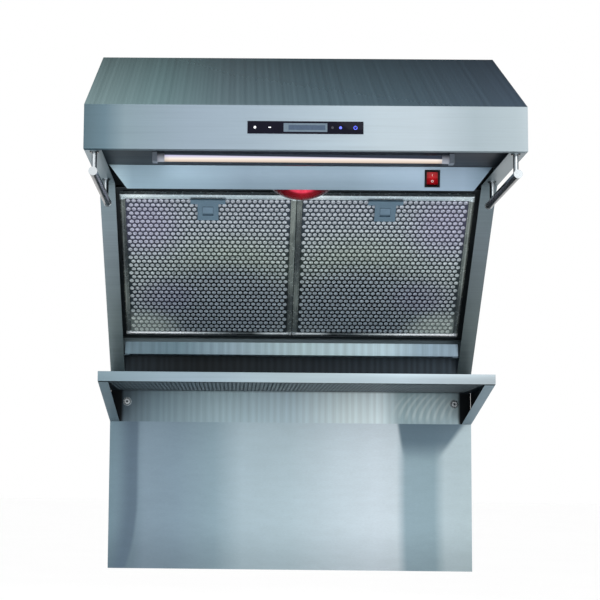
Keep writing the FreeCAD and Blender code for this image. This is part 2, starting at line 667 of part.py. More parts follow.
def make_rail_fittings():
    posts = []
    caps = []
    for sign in (-1, 1):
        x = dim.rail_spacing / 2 * sign
        for depth in (dim.post_front, dim.post_back):
            reach = dim.rail_level - dim.body_height
            stem = rod("PostStem", "z", dim.post_radius, reach, x, at(depth), -dim.rail_level)
            foot = rod("PostFoot", "z", RAIL.foot, RAIL.foot_high, x, at(depth),
                       -dim.body_height - RAIL.foot_high)
            saddle = rod("PostSaddle", "y", dim.rail_radius, RAIL.saddle, x,
                         at(depth - RAIL.saddle / 2), -dim.rail_level)
            posts.append(cut("Post", fuse("PostSolid", stem, foot), saddle))
        for start in (dim.rail_front, dim.rail_back - RAIL.cap):
            caps.append(rod("Cap", "y", dim.rail_radius + RAIL.cap_lip, RAIL.cap, x, at(start),
                            -dim.rail_level))
    node(group("RailPosts", *posts), "rail_posts")
    node(group("RailCaps", *caps), "rail_end_caps")


# ---------------------------------------------------------------- controls

def make_controls():
    half = dim.glass_wide / 2
    level = -dim.glass_level
    glass = box("Glass", -half, half, at(-1), at(0), level - dim.glass_high / 2,
                level + dim.glass_high / 2)
    node(glass, "control_glass")
    half = dim.display_wide / 2
    display = box("Display", -half, half, at(0), at(3), level - dim.display_high / 2,
                  level + dim.display_high / 2)
    node(display, "display_module")
    half = dim.glass_wide / 2 - BOARD.inset
    board = box("Board", -half, half, at(BOARD.start), at(BOARD.start + BOARD.thick),
                level - BOARD.half_high, level + BOARD.half_high)
    node(board, "control_board")
    thin = HOUSING.wall
    half = half + HOUSING.rim
    high = HOUSING.half_high
    outside = box("HousingOutside", -half, half, at(HOUSING.front), at(HOUSING.back), level - high,
                  level + high)
    inside = box("HousingInside", thin - half, half - thin, at(1), at(HOUSING.back - thin),
                 level + thin - high, level + high - thin)
    node(cut("ControlHousing", outside, inside), "control_housing")


# ---------------------------------------------------------------- shelf and backsplash

shelf_back = dim.body_depth - dim.sheet * 2


def make_shelf_tray():
    thin = dim.sheet
    block = box("TrayBlock", -half_width, half_width, at(dim.shelf_front), at(shelf_back),
                -dim.shelf_plate, -dim.shelf_lip_top)
    hollow = box("TrayHollow", thin - half_width, half_width - thin, at(dim.shelf_front + thin),
                 at(shelf_back + 5), thin - dim.shelf_plate, 5 - dim.shelf_lip_top)
    node(cut("ShelfTray", block, hollow), "shelf_tray")


def make_shelf_bracket(side, sign):
    level = -dim.shelf_plate
    nose = (at(dim.shelf_front), level)
    foot = (at(shelf_back), -dim.shelf_foot)
    body = doc.addObject("PartDesign::Body", "ShelfBracket" + side)
    web = new_sketch(body, "BracketWeb" + side, "YZ_Plane")
    draw_loop(web, [nose, (at(shelf_back), level), foot])
    pad(body, web, dim.sheet, reverse=sign > 0)
    hem = new_sketch(body, "BracketFlange" + side, "YZ_Plane")
    fall = (dim.shelf_foot - dim.shelf_plate) / (shelf_back - dim.shelf_front)
    ends = [(at(depth), level - (depth - dim.shelf_front) * fall)
            for depth in (dim.shelf_front + 8, shelf_back - 1)]
    draw_loop(hem, folded(ends, 1))
    pad(body, hem, dim.bracket_flange, reverse=sign > 0)
    node(shift(body, half_width * sign), "shelf_bracket_" + side)


def bolt_shafts(name, radius, depth, length):
    return [rod(name, "y", radius, length, dim.bolt_spacing / 2 * sign, at(depth), -dim.bolt_level)
            for sign in (-1, 1)]


def make_shelf_back():
    half = inner_half - dim.joint_gap
    plate = box("ShelfBackPlate", -half, half, at(shelf_back), back - dim.sheet,
                -dim.shelf_foot, 4 - dim.trough_bottom)
    holes = bolt_shafts("ShelfBoltHole", BOLT.hole, shelf_back - 2, 6)
    node(cut("ShelfBack", plate, *holes), "shelf_back_plate")


def make_shelf_bolts():
    heads = bolt_shafts("BoltHead", dim.bolt_radius, shelf_back - BOLT.head - BOLT.washer, BOLT.head)
    washers = bolt_shafts("BoltWasher", dim.bolt_radius + BOLT.washer_lip, shelf_back - BOLT.washer,
                          BOLT.washer)
    shanks = bolt_shafts("BoltShank", BOLT.shank, shelf_back - 2, 2 + dim.sheet * 2)
    bolts = [fuse("ShelfBolt", *pieces) for pieces in zip(heads, washers, shanks)]
    node(group("ShelfBolts", *bolts), "shelf_bolts")


def make_backsplash():
    level = -dim.splash_top
    plate = box("SplashPlate", -half_width, half_width, back - dim.sheet, back,
                level - dim.splash_height, level + 16)
    node(plate, "backsplash")


# ---------------------------------------------------------------- duct collar and dampers

def make_collar():
    radius = dim.collar_radius
    wall = rod("CollarWall", "z", radius, dim.collar_height, 0, 0, 0)
    brim = rod("CollarBrim", "z", radius + 13, COLLAR_SHEET, 0, 0, 0)
    bore = rod("CollarBore", "z", radius - COLLAR_SHEET, dim.collar_height + DRILL, 0, 0, -DRILL / 2)
    holes = [rod("BrimHole", "z", COLLAR_SCREW.hole, DRILL, x, y, -1) for x, y in COLLAR_SCREWS]
    pin = rod("CollarPinHole", "y", dim.damper_pin, radius * 2 + 4, 0, -radius - 2,
              dim.damper_level)
    node(cut("Collar", fuse("CollarSolid", wall, brim), bore, pin, *holes), "duct_collar")
    length = (radius - 0.2) * 2
    node(rod("DamperPin", "y", dim.damper_pin, length, 0, -length / 2, dim.damper_level),
         "damper_pin")


def make_damper(side, sign):
    level = dim.damper_level
    low = level - KNUCKLE.radius
    reach = dim.collar_radius + 14.5
    disc = rod("FlapDisc" + side, "z", dim.collar_radius - KNUCKLE.flap_inset, KNUCKLE.thick, 0, 0, low)
    x0, x1 = span(sign, KNUCKLE.flap_gap, reach)
    half = doc.addObject("Part::Common", "FlapHalf" + side)
    half.Base = disc
    half.Tool = box("FlapSide" + side, x0, x1, -reach, reach, low - 5, low + 5)
    tubes = []
    for y0, y1 in getattr(KNUCKLE, side):
        tubes.append(rod("Knuckle" + side, "y", KNUCKLE.radius, y1 - y0, 0, y0, level))
        tubes.append(box("KnuckleTab" + side, *span(sign, 0, KNUCKLE.tab), y0, y1, low,
                         low + KNUCKLE.thick))
    bore = rod("KnuckleBore" + side, "y", dim.damper_pin + KNUCKLE.gap, reach * 2, 0, -reach, level)
    node(cut("Flap" + side, fuse("FlapSolid" + side, half, *tubes), bore), "damper_flap_" + side)


# ---------------------------------------------------------------- blower

fan_y = at(dim.fan_depth)
fan_z = -dim.fan_level


def scroll_solid(name, x0, x1, shrink, top):
    """A round drum with an outlet duct rising from its rear half."""
    radius = dim.scroll_radius - shrink
    drum = rod(name + "Drum", "x", radius, x1 - x0, x0, fan_y, fan_z)
    duct = box(name + "Duct", x0, x1, fan_y + shrink, fan_y + radius, fan_z, top)
    return fuse(name, drum, duct)


def make_scroll(side, sign):
    thin = dim.sheet
    x0, x1 = span(sign, dim.scroll_inner, dim.scroll_inner + dim.scroll_wide)
    roof = -dim.plenum_level - thin
    outside = scroll_solid("ScrollOut" + side, x0, x1, as_size(0), roof)
    inside = scroll_solid("ScrollIn" + side, x0 + thin, x1 - thin, thin, roof + 5)
    inlets = rod("ScrollInlets" + side, "x", WHEEL.inlet, dim.scroll_wide + DRILL, x0 - DRILL / 2, fan_y,
                 fan_z)
    node(cut("Scroll" + side, outside, inside, inlets), "blower_scroll_" + side)


def make_wheel(side, sign):
    """A squirrel-cage wheel: hub plate, ring of blades and an end ring."""
    body = doc.addObject("PartDesign::Body", "Wheel" + side)
    plate = new_sketch(body, "WheelPlate" + side, "XY_Plane")
    draw_circle(plate, 0, 0, dim.wheel_radius)
    draw_circle(plate, 0, 0, dim.shaft_radius)
    pad(body, plate, WHEEL.plate)
    hub = new_sketch(body, "WheelHub" + side, "XY_Plane")
    draw_circle(hub, 0, 0, WHEEL.hub)
    draw_circle(hub, 0, 0, dim.shaft_radius)
    pad(body, hub, WHEEL.hub_long)
    rim = new_sketch(body, "WheelRim" + side, "XY_Plane")
    rim.AttachmentOffset = FreeCAD.Placement(
        FreeCAD.Vector(0, 0, dim.wheel_wide.value - WHEEL.plate), FreeCAD.Rotation())
    blade = new_sketch(body, "WheelBlade" + side, "XY_Plane")
    tip = dim.wheel_radius - WHEEL.blade_inset
    root = tip - WHEEL.blade_reach
    draw_loop(blade, [(root, as_size(5)), (root + 1, as_size(4)), (tip, as_size(-0.6)),
                      (tip, as_size(0.6))])
    vane = pad(body, blade, dim.wheel_wide)
    ring = body.newObject("PartDesign::PolarPattern", "WheelBlades" + side)
    ring.Originals = [vane]
    ring.Axis = (blade, ["N_Axis"])
    ring.Angle = 360
    ring.Occurrences = WHEEL.blades
    body.Tip = ring
    draw_circle(rim, 0, 0, dim.wheel_radius)
    draw_circle(rim, 0, 0, dim.wheel_radius - WHEEL.rim)
    pad(body, rim, WHEEL.plate)
    turn = FreeCAD.Rotation(FreeCAD.Vector(0, 1, 0), 90 * sign)
    body.Placement = FreeCAD.Placement(FreeCAD.Vector(), turn)
    inset = dim.scroll_inner + (dim.scroll_wide - dim.wheel_wide) / 2
    node(shift(body, inset * sign, fan_y, fan_z), "impeller_" + side)


def make_motor():
    half = dim.motor_long / 2
    can = rod("MotorCan", "x", dim.motor_radius, dim.motor_long, -half, fan_y, fan_z)
    bore = rod("MotorBore", "x", dim.shaft_radius + MOTOR.bore_gap, dim.motor_long + DRILL,
               -half - DRILL / 2, fan_y, fan_z)
    node(cut("Motor", can, bore), "blower_motor")
    reach = dim.scroll_inner + dim.scroll_wide - MOTOR.shaft_inset
    node(rod("Shaft", "x", dim.shaft_radius, reach * 2, -reach, fan_y, fan_z), "motor_shaft")
    half_x, half_y = MOTOR.hanger
    hanger = box("HangerBlock", -half_x, half_x, fan_y - half_y, fan_y + half_y,
                 fan_z + MOTOR.hanger_low, -dim.plenum_level - dim.sheet)
    saddle = rod("HangerSaddle", "x", dim.motor_radius, half_x * 2 + 20, -half_x - 10, fan_y, fan_z)
    half_x, half_y = MOTOR.relief
    relief = box("HangerRelief", -half_x, half_x, fan_y - half_y, fan_y + half_y,
                 fan_z + MOTOR.relief_low, -dim.plenum_level - MOTOR.relief_roof)
    node(cut("Hanger", hanger, saddle, relief), "motor_hanger")


def make_plenum():
    thin = dim.sheet
    half = dim.scroll_inner + dim.scroll_wide + PLENUM.side
    y0 = as_size(PLENUM.front)
    y1 = fan_y + dim.scroll_radius + PLENUM.back
    floor = -dim.plenum_level - thin
    block = box("PlenumBlock", -half, half, y0, y1, floor, -thin)
    hollow = box("PlenumHollow", thin - half, half - thin, y0 + thin, y1 - thin, floor + thin, 2)
    ports = []
    for sign in (-1, 1):
        x0, x1 = span(sign, dim.scroll_inner + thin, dim.scroll_inner + dim.scroll_wide - thin)
        ports.append(box("PlenumPort", x0, x1, fan_y + thin, fan_y + dim.scroll_radius - thin,
                         floor - 2, floor + 4))
    node(cut("Plenum", block, hollow, *ports), "exhaust_plenum")


# ---------------------------------------------------------------- wiring and fasteners

def make_wiring():
    x = dim.gland_x
    y = at(dim.gland_depth)
    top = -dim.sheet - JUNCTION.gap
    half = JUNCTION.half
    low = top - JUNCTION.deep
    outside = box("JunctionOutside", x - half, x + half, y - half, y + half, low, top)
    half = JUNCTION.half - JUNCTION.sheet
    inside = box("JunctionInside", x - half, x + half, y - half, y + half, low + JUNCTION.sheet, top + 1)
    node(cut("JunctionBox", outside, inside), "junction_box")
    body = rod("GlandBody", "z", GLAND.body, GLAND.body_long, x, y, -GLAND.below)
    nut = rod("GlandNut", "z", GLAND.nut, GLAND.nut_high, x, y, 0)
    dome = rod("GlandDome", "z", GLAND.dome, GLAND.dome_high, x, y, GLAND.nut_high)
    bore = rod("GlandBore", "z", dim.gland_bore, GLAND.body_long + 14, x, y, -GLAND.below - 2)
    node(cut("Gland", fuse("GlandSolid", body, nut, dome), bore), "cable_gland")


def screw(name, x, y, level, shank, head, head_high):
    """A screw whose head stands on a level, its shank pointing down."""
    stem = rod(name + "Shank", "z", shank, CASING_SCREW.long, x, y, level - CASING_SCREW.long)
    cap = rod(name + "Head", "z", head, head_high, x, y, level)
    return fuse(name, stem, cap)


def make_screws():
    casing = [screw("CasingScrew", x, at(depth), -CASING_SCREW.sunk, CASING_SCREW.shank,
                    CASING_SCREW.head, CASING_SCREW.sunk) for x, depth in CASING_SCREWS]
    node(group("CasingScrews", *casing), "casing_screws")
    collar = [screw("CollarScrew", x, y, COLLAR_SHEET, COLLAR_SCREW.shank, COLLAR_SCREW.head,
                    COLLAR_SCREW.head_high) for x, y in COLLAR_SCREWS]
    node(group("CollarScrews", *collar), "collar_screws")


# ---------------------------------------------------------------- build and write

def build_all():
    make_front_panel()
    make_top_panel()
    make_back_panel()
    mirrored(make_side_panel)
    make_ceiling()
    make_lamp_bay()
    make_switch_panel()
    make_switch()
    make_tube_lamp()
    make_heat_lamp()
    mirrored(make_filter)
    make_filter_seat()
    make_filter_cradle()
    make_trough()
    mirrored(make_rail)
    make_rail_fittings()
    make_controls()
    make_shelf_tray()
    mirrored(make_shelf_bracket)
    make_shelf_back()
    make_shelf_bolts()
    make_backsplash()
    make_collar()
    mirrored(make_damper)
    mirrored(make_scroll)
    mirrored(make_wheel)
    make_motor()
    make_plenum()
    make_wiring()
    make_screws()


def check_and_write():
    doc.recompute()
    failed = [obj.Name for obj in doc.Objects if {"Invalid", "Error"} & set(obj.State)]
    if failed:
        raise RuntimeError("features failed: " + ", ".join(failed))
    os.makedirs("parts", exist_ok=True)
    for obj in nodes:
        shape = obj.Shape
        if shape.isNull() or not shape.isValid() or not shape.Solids:
            raise RuntimeError("no valid solid in " + obj.Label)
    for obj in nodes:
        obj.Shape.exportStep("parts/%s.step" % obj.Label)
        print("%-24s solids %2d  volume %10.0f" % (obj.Label, len(obj.Shape.Solids), obj.Shape.Volume))
    print(len(nodes), "sub-parts")


build_all()
check_and_write()
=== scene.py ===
import math

import bmesh
import bpy
from mathutils import Matrix, Vector


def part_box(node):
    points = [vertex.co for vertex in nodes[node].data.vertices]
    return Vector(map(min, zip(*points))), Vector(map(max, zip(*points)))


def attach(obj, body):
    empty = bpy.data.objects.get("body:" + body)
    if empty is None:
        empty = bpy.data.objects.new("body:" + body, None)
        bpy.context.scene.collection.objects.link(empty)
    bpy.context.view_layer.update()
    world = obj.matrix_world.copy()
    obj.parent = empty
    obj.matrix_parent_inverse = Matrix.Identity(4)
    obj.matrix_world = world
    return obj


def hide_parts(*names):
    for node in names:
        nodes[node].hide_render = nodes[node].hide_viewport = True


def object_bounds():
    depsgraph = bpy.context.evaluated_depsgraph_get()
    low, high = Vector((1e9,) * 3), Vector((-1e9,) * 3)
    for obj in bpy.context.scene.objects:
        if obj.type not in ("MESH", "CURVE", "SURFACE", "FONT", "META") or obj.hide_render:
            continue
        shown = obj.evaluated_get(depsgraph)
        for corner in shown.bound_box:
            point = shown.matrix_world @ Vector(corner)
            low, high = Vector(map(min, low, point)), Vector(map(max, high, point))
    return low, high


# Looks for the under cabinet range hood, in metres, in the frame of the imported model:
# +X to the right as the cook sees it, +Y towards the wall, +Z up.
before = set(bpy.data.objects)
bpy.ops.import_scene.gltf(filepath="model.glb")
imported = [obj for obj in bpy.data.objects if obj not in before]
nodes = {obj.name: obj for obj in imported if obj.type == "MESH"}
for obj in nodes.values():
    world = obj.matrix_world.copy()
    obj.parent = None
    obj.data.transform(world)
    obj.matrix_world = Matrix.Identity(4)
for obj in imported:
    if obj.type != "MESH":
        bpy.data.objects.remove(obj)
cad_low, cad_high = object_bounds()
MM = 0.001

face_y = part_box("front_panel")[0].y
wall_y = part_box("backsplash")[1].y
fold_z = -0.180
slope_top_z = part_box("front_panel")[1].z


# ---------------------------------------------------------------- materials

def rgb(red, green, blue):
    """A linear colour from the usual 0 to 255 values."""
    def linear(value):
        value /= 255.0
        return value / 12.92 if value <= 0.04045 else ((value + 0.055) / 1.055) ** 2.4
    return (linear(red), linear(green), linear(blue), 1.0)


class Shade:
    """A node material under construction, with its patterns laid out in object space."""

    def __init__(self, name, metallic=0.0, roughness=0.5):
        self.material = bpy.data.materials.new(name)
        self.material.use_nodes = True
        tree = self.material.node_tree
        self.nodes = tree.nodes
        self.links = tree.links
        self.shader = self.nodes["Principled BSDF"]
        self.shader.inputs["Metallic"].default_value = metallic
        self.shader.inputs["Roughness"].default_value = roughness
        spots = self.nodes.new("ShaderNodeTexCoord")
        self.place = spots.outputs["Object"]
        self.normal = spots.outputs["Normal"]

    def set(self, **values):
        for field, value in values.items():
            self.shader.inputs[field.replace("_", " ")].default_value = value
        return self

    def link(self, source, target):
        self.links.new(source, target)

    def maths(self, operation, one, two=0.0, third=None):
        node = self.nodes.new("ShaderNodeMath")
        node.operation = operation
        for socket, value in zip(node.inputs, (one, two, third)):
            if value is None:
                continue
            if isinstance(value, (int, float)):
                socket.default_value = value
            else:
                self.link(value, socket)
        return node.outputs[0]

    def axis(self, index):
        """One coordinate of the place on the piece."""
        return self.part(self.place, index)

    def facing(self, index):
        """One part of the direction that the surface faces."""
        return self.part(self.normal, index)

    def part(self, vector, index):
        node = self.nodes.new("ShaderNodeSeparateXYZ")
        self.link(vector, node.inputs[0])
        return node.outputs[index]

    def mapped(self, scale, offset=(0, 0, 0), turn=(0, 0, 0)):
        node = self.nodes.new("ShaderNodeMapping")
        node.inputs["Location"].default_value = offset
        node.inputs["Rotation"].default_value = turn
        node.inputs["Scale"].default_value = scale
        self.link(self.place, node.inputs["Vector"])
        return node.outputs[0]

    def noise(self, scale, detail=2.0, roughness=0.5, offset=(0, 0, 0), turn=(0, 0, 0)):
        """Noise whose grains are 1 / scale metres long on each axis."""
        node = self.nodes.new("ShaderNodeTexNoise")
        node.inputs["Scale"].default_value = 1.0
        node.inputs["Detail"].default_value = detail
        node.inputs["Roughness"].default_value = roughness
        self.link(self.mapped(scale, offset, turn), node.inputs["Vector"])
        return node.outputs["Fac"]

    def cells(self, scale, feature="F1"):
        node = self.nodes.new("ShaderNodeTexVoronoi")
        node.feature = feature
        node.inputs["Scale"].default_value = 1.0
        self.link(self.mapped(scale), node.inputs["Vector"])
        return node.outputs["Distance"]

    def waves(self, scale, distortion=0.0, detail=2.0, turn=(0, 0, 0)):
        node = self.nodes.new("ShaderNodeTexWave")
        node.inputs["Scale"].default_value = 1.0
        node.inputs["Distortion"].default_value = distortion
        node.inputs["Detail"].default_value = detail
        self.link(self.mapped(scale, turn=turn), node.inputs["Vector"])
        return node.outputs["Fac"]

    def blob(self, centre, radii):
        """1 at a centre, falling to 0 on an ellipsoid around it."""
        scale = tuple(1.0 / radius for radius in radii)
        offset = tuple(-c * s for c, s in zip(centre, scale))
        node = self.nodes.new("ShaderNodeTexGradient")
        node.gradient_type = "SPHERICAL"
        self.link(self.mapped(scale, offset), node.inputs["Vector"])
        return node.outputs["Fac"]

    def remap(self, source, low, high, start, end, smooth=False):
        node = self.nodes.new("ShaderNodeMapRange")
        if smooth:
            node.interpolation_type = "SMOOTHSTEP"
        self.link(source, node.inputs["Value"])
        for field, value in (("From Min", low), ("From Max", high), ("To Min", start), ("To Max", end)):
            node.inputs[field].default_value = value
        return node.outputs["Result"]

    def ramp(self, source, stops, smooth=False):
        """Colours along a value: stops are (value, colour) in rising order."""
        first, last = stops[0][0], stops[-1][0]
        node = self.nodes.new("ShaderNodeValToRGB")
        if smooth:
            node.color_ramp.interpolation = "EASE"
        elements = node.color_ramp.elements
        while len(elements) < len(stops):
            elements.new(0.5)
        for element, (value, colour) in zip(elements, stops):
            element.position = (value - first) / (last - first)
        for element, (value, colour) in zip(elements, stops):
            element.color = colour
        self.link(self.remap(source, first, last, 0.0, 1.0), node.inputs["Fac"])
        return node.outputs["Color"]

    def mix(self, factor, one, two, blend="MIX"):
        node = self.nodes.new("ShaderNodeMix")
        node.data_type = "RGBA"
        node.blend_type = blend
        for socket, value in ((node.inputs[0], factor), (node.inputs[6], one), (node.inputs[7], two)):
            if isinstance(value, (int, float, tuple)):
                socket.default_value = value
            else:
                self.link(value, socket)
        return node.outputs[2]

    def tint(self, colour, value, low, high, start, end):
        """A colour made darker or lighter by a value."""
        return self.times(colour, self.remap(value, low, high, start, end))

    def times(self, colour, level):
        node = self.nodes.new("ShaderNodeCombineXYZ")
        for socket in node.inputs:
            self.link(level, socket)
        return self.mix(1.0, colour, node.outputs[0], "MULTIPLY")

    def within(self, source, middle, half, soft):
        """1 where a value is within half of a middle, 0 beyond it."""
        away = self.maths("ABSOLUTE", self.maths("SUBTRACT", source, middle))
        return self.remap(away, half - soft, half, 1.0, 0.0)

    def bump(self, height, strength, distance):
        node = self.nodes.new("ShaderNodeBump")
        node.inputs["Strength"].default_value = strength
        node.inputs["Distance"].default_value = distance
        self.link(height, node.inputs["Height"])
        self.link(node.outputs[0], self.shader.inputs["Normal"])

    def colour(self, source):
        self.link(source, self.shader.inputs["Base Color"])

    def rough(self, source, start, end, low=0.35, high=0.65):
        self.link(self.remap(source, low, high, start, end), self.shader.inputs["Roughness"])

    def glow(self, source, strength):
        self.link(source, self.shader.inputs["Emission Color"])
        self.shader.inputs["Emission Strength"].default_value = strength
        self.material.cycles.emission_sampling = "NONE"


def brushed(name, paint, grain, metallic=0.8, rough=(0.30, 0.44), contrast=0.07, bump=0.10,
            grazing=1.0):
    """Brushed stainless steel: streaks along the axis where grain is smallest, and a lower
    grazing value for steel that stays dark when it is seen along its surface."""
    shade = Shade(name, metallic)
    fine = shade.noise(grain, 2.0, 0.6)
    broad = shade.noise(tuple(size * 0.16 for size in grain), 2.0, 0.5, (3.1, 1.7, 5.3))
    streaks = shade.maths("MULTIPLY_ADD", fine, 0.6, shade.maths("MULTIPLY", broad, 0.4))
    colour = shade.tint(paint(shade), streaks, 0.36, 0.64, 1 - contrast, 1 + contrast)
    smudge = shade.noise((7, 7, 7), 3.0, 0.55, (0.4, 0.9, 0.2))
    shade.colour(shade.tint(colour, smudge, 0.3, 0.7, 0.97, 1.03))
    shade.rough(streaks, *rough)
    shade.bump(fine, bump, 0.0002)
    shade.set(Specular_IOR_Level=0.5 * grazing, Specular_Tint=(grazing, grazing, grazing, 1.0))
    return shade.material


def cast(name, light, dark, scale, metallic=0.0, rough=(0.4, 0.6), bump=(0.15, 0.0003), specular=0.5):
    """An even material with mottling, a fine grain and a little wear."""
    shade = Shade(name, metallic)
    grain = shade.noise((scale, scale, scale), 3.0, 0.6)
    cloud = shade.noise((14, 14, 14), 3.0, 0.5, (1.3, 0.2, 2.2))
    shade.colour(shade.tint(shade.mix(grain, dark, light), cloud, 0.3, 0.7, 0.93, 1.07))
    shade.rough(cloud, *rough)
    shade.bump(grain, *bump)
    shade.set(Specular_IOR_Level=specular)
    return shade.material


def spangled(name, light, dark, scale):
    """Galvanised sheet: zinc crystals in slightly different greys."""
    shade = Shade(name, 0.75)
    crystals = shade.cells((scale, scale, scale))
    cloud = shade.noise((scale * 2, scale * 2, scale * 2), 2.0, 0.5)
    shade.colour(shade.tint(shade.mix(crystals, dark, light), cloud, 0.3, 0.7, 0.9, 1.1))
    shade.rough(crystals, 0.34, 0.52, 0.0, 0.8)
    shade.bump(crystals, 0.08, 0.0003)
    return shade.material


ALONG_X = (5, 420, 420)
ALONG_Z = (420, 5, 5)


def casing_painted_reflections(shade):
    """Painted reflections: a pale face under a dark sloped top, each painted lighter on one side."""
    x = shade.axis(0)
    z = shade.axis(2)
    face = shade.ramp(x, [(-0.381, rgb(96, 118, 128)), (-0.345, rgb(110, 134, 146)),
                          (-0.31, rgb(141, 161, 171)), (-0.20, rgb(155, 172, 186)),
                          (-0.10, rgb(161, 178, 191)), (0.06, rgb(178, 194, 204)),
                          (0.13, rgb(185, 199, 207)), (0.21, rgb(183, 196, 204)),
                          (0.29, rgb(162, 176, 183)), (0.36, rgb(167, 180, 186)),
                          (0.381, rgb(173, 185, 191))])
    slope = shade.ramp(x, [(-0.381, rgb(118, 137, 139)), (-0.26, rgb(108, 130, 133)),
                           (-0.13, rgb(95, 111, 117)), (0.02, rgb(84, 101, 109)),
                           (0.16, rgb(78, 94, 103)), (0.381, rgb(72, 84, 96))])
    # Painted shade on the slope: lighter near the fold, darker towards the top.
    slope = shade.tint(slope, z, fold_z, slope_top_z, 1.42, 0.74)
    above = shade.remap(z, fold_z - 0.0004, fold_z + 0.0004, 0.0, 1.0)
    return shade.mix(above, face, slope)


def casing_steel():
    """Streaks run up the sloped top and across the face."""
    shade = Shade("casing_brushed_steel", 0.8)
    above = shade.remap(shade.axis(2), fold_z - 0.0004, fold_z + 0.0004, 0.0, 1.0)
    across = shade.noise(ALONG_X, 2.0, 0.6)
    upward = shade.noise((150, 0, 0), 0.0, 0.5)
    broad = shade.noise((60, 0, 0), 2.0, 0.5, (2.0, 0.3, 0.1))
    upward = shade.maths("MULTIPLY_ADD", upward, 0.8, shade.maths("MULTIPLY", broad, 0.2))
    streaks = shade.maths("ADD", shade.maths("MULTIPLY", upward, above),
                          shade.maths("MULTIPLY", across, shade.maths("SUBTRACT", 1.0, above)))
    depth = shade.remap(above, 0.0, 1.0, 0.25, 0.15)
    level = shade.maths("MULTIPLY_ADD", shade.maths("SUBTRACT", streaks, 0.5), depth, 1.0)
    shade.colour(shade.times(casing_painted_reflections(shade), level))
    shade.link(shade.remap(above, 0.0, 1.0, 0.8, 0.5), shade.shader.inputs["Metallic"])
    shade.set(Specular_IOR_Level=0.0, Specular_Tint=(0.15, 0.15, 0.15, 1.0))
    shade.rough(streaks, 0.34, 0.50)
    shade.bump(shade.maths("MULTIPLY", across, shade.maths("SUBTRACT", 1.0, above)), 0.10, 0.0002)
    return shade.material


def outer_painted_shading(shade):
    """The flat top and the back: mid grey with painted shading, lighter to the left."""
    return shade.ramp(shade.axis(0), [(-0.381, rgb(126, 143, 150)), (0.381, rgb(104, 120, 128))])


def side_painted_shade(shade):
    """The side panels: mid grey with painted shade, darker towards the foot, and the right panel painted
    darker than the left.
    """
    z = shade.axis(2)
    down = shade.ramp(z, [(-0.603, rgb(106, 120, 124)), (-0.50, rgb(120, 134, 136)),
                          (-0.36, rgb(128, 142, 150)), (-0.25, rgb(127, 145, 153)),
                          (0.0, rgb(136, 150, 158))])
    return shade.tint(down, shade.axis(0), -0.381, 0.381, 1.0, 0.66)


def ceiling_painted_shade(shade):
    """The canopy's ceiling: painted dark shade, lighter at its left end."""
    x = shade.axis(0)
    across = shade.ramp(x, [(-0.381, rgb(52, 67, 77)), (-0.30, rgb(24, 35, 43)),
                            (-0.20, rgb(16, 24, 40)), (0.0, rgb(18, 27, 43)),
                            (0.22, rgb(14, 23, 36)), (0.381, rgb(20, 28, 38))])
    return across


def panel_painted_lamplight(shade):
    # Painted light from the tube: the switch panel painted bright, brightest towards its ends.
    return shade.ramp(shade.axis(0), [(-0.35, rgb(203, 233, 246)), (-0.31, rgb(157, 186, 203)),
                                      (-0.1, rgb(126, 148, 164)), (0.1, rgb(131, 153, 169)),
                                      (0.30, rgb(163, 187, 208)), (0.35, rgb(137, 162, 182))])


def bay_painted_shade(shade):
    # Painted shade: the lamp bay and the filter seat painted dark grey, as recesses in shade.
    return shade.mix(0.5, rgb(46, 52, 56), rgb(60, 68, 72))


def shelf_painted_light(shade):
    """The shelf: painted lighter to the right, with painted shade where it faces down."""
    base = shade.ramp(shade.axis(0), [(-0.381, rgb(131, 152, 162)), (-0.2, rgb(158, 178, 191)),
                                      (0.0, rgb(176, 194, 201)), (0.2, rgb(184, 201, 210)),
                                      (0.381, rgb(172, 184, 190))])
    underside_shade = shade.remap(shade.facing(2), -0.5, -0.8, 0.0, 1.0)
    return shade.mix(underside_shade, base, rgb(52, 64, 72))


def bracket_painted_shade(shade):
    """The shelf's brackets: painted black shade on their inner faces, light on the flanges, painted lighter
    to the right.
    """
    base = shade.ramp(shade.axis(0), [(-0.381, rgb(112, 132, 142)), (0.381, rgb(140, 158, 168))])
    outward = shade.maths("MULTIPLY", shade.facing(0), shade.axis(0))
    # Painted shade on the faces turned inwards.
    inner = shade.remap(outward, -0.15, -0.30, 0.0, 1.0)
    return shade.mix(inner, base, rgb(20, 25, 29))


def plain_behind(shade, front):
    """A sheet that is plain grey on the side towards the wall."""
    behind = shade.remap(shade.facing(1), 0.4, 0.6, 0.0, 1.0)
    return shade.mix(behind, front, rgb(138, 154, 162))


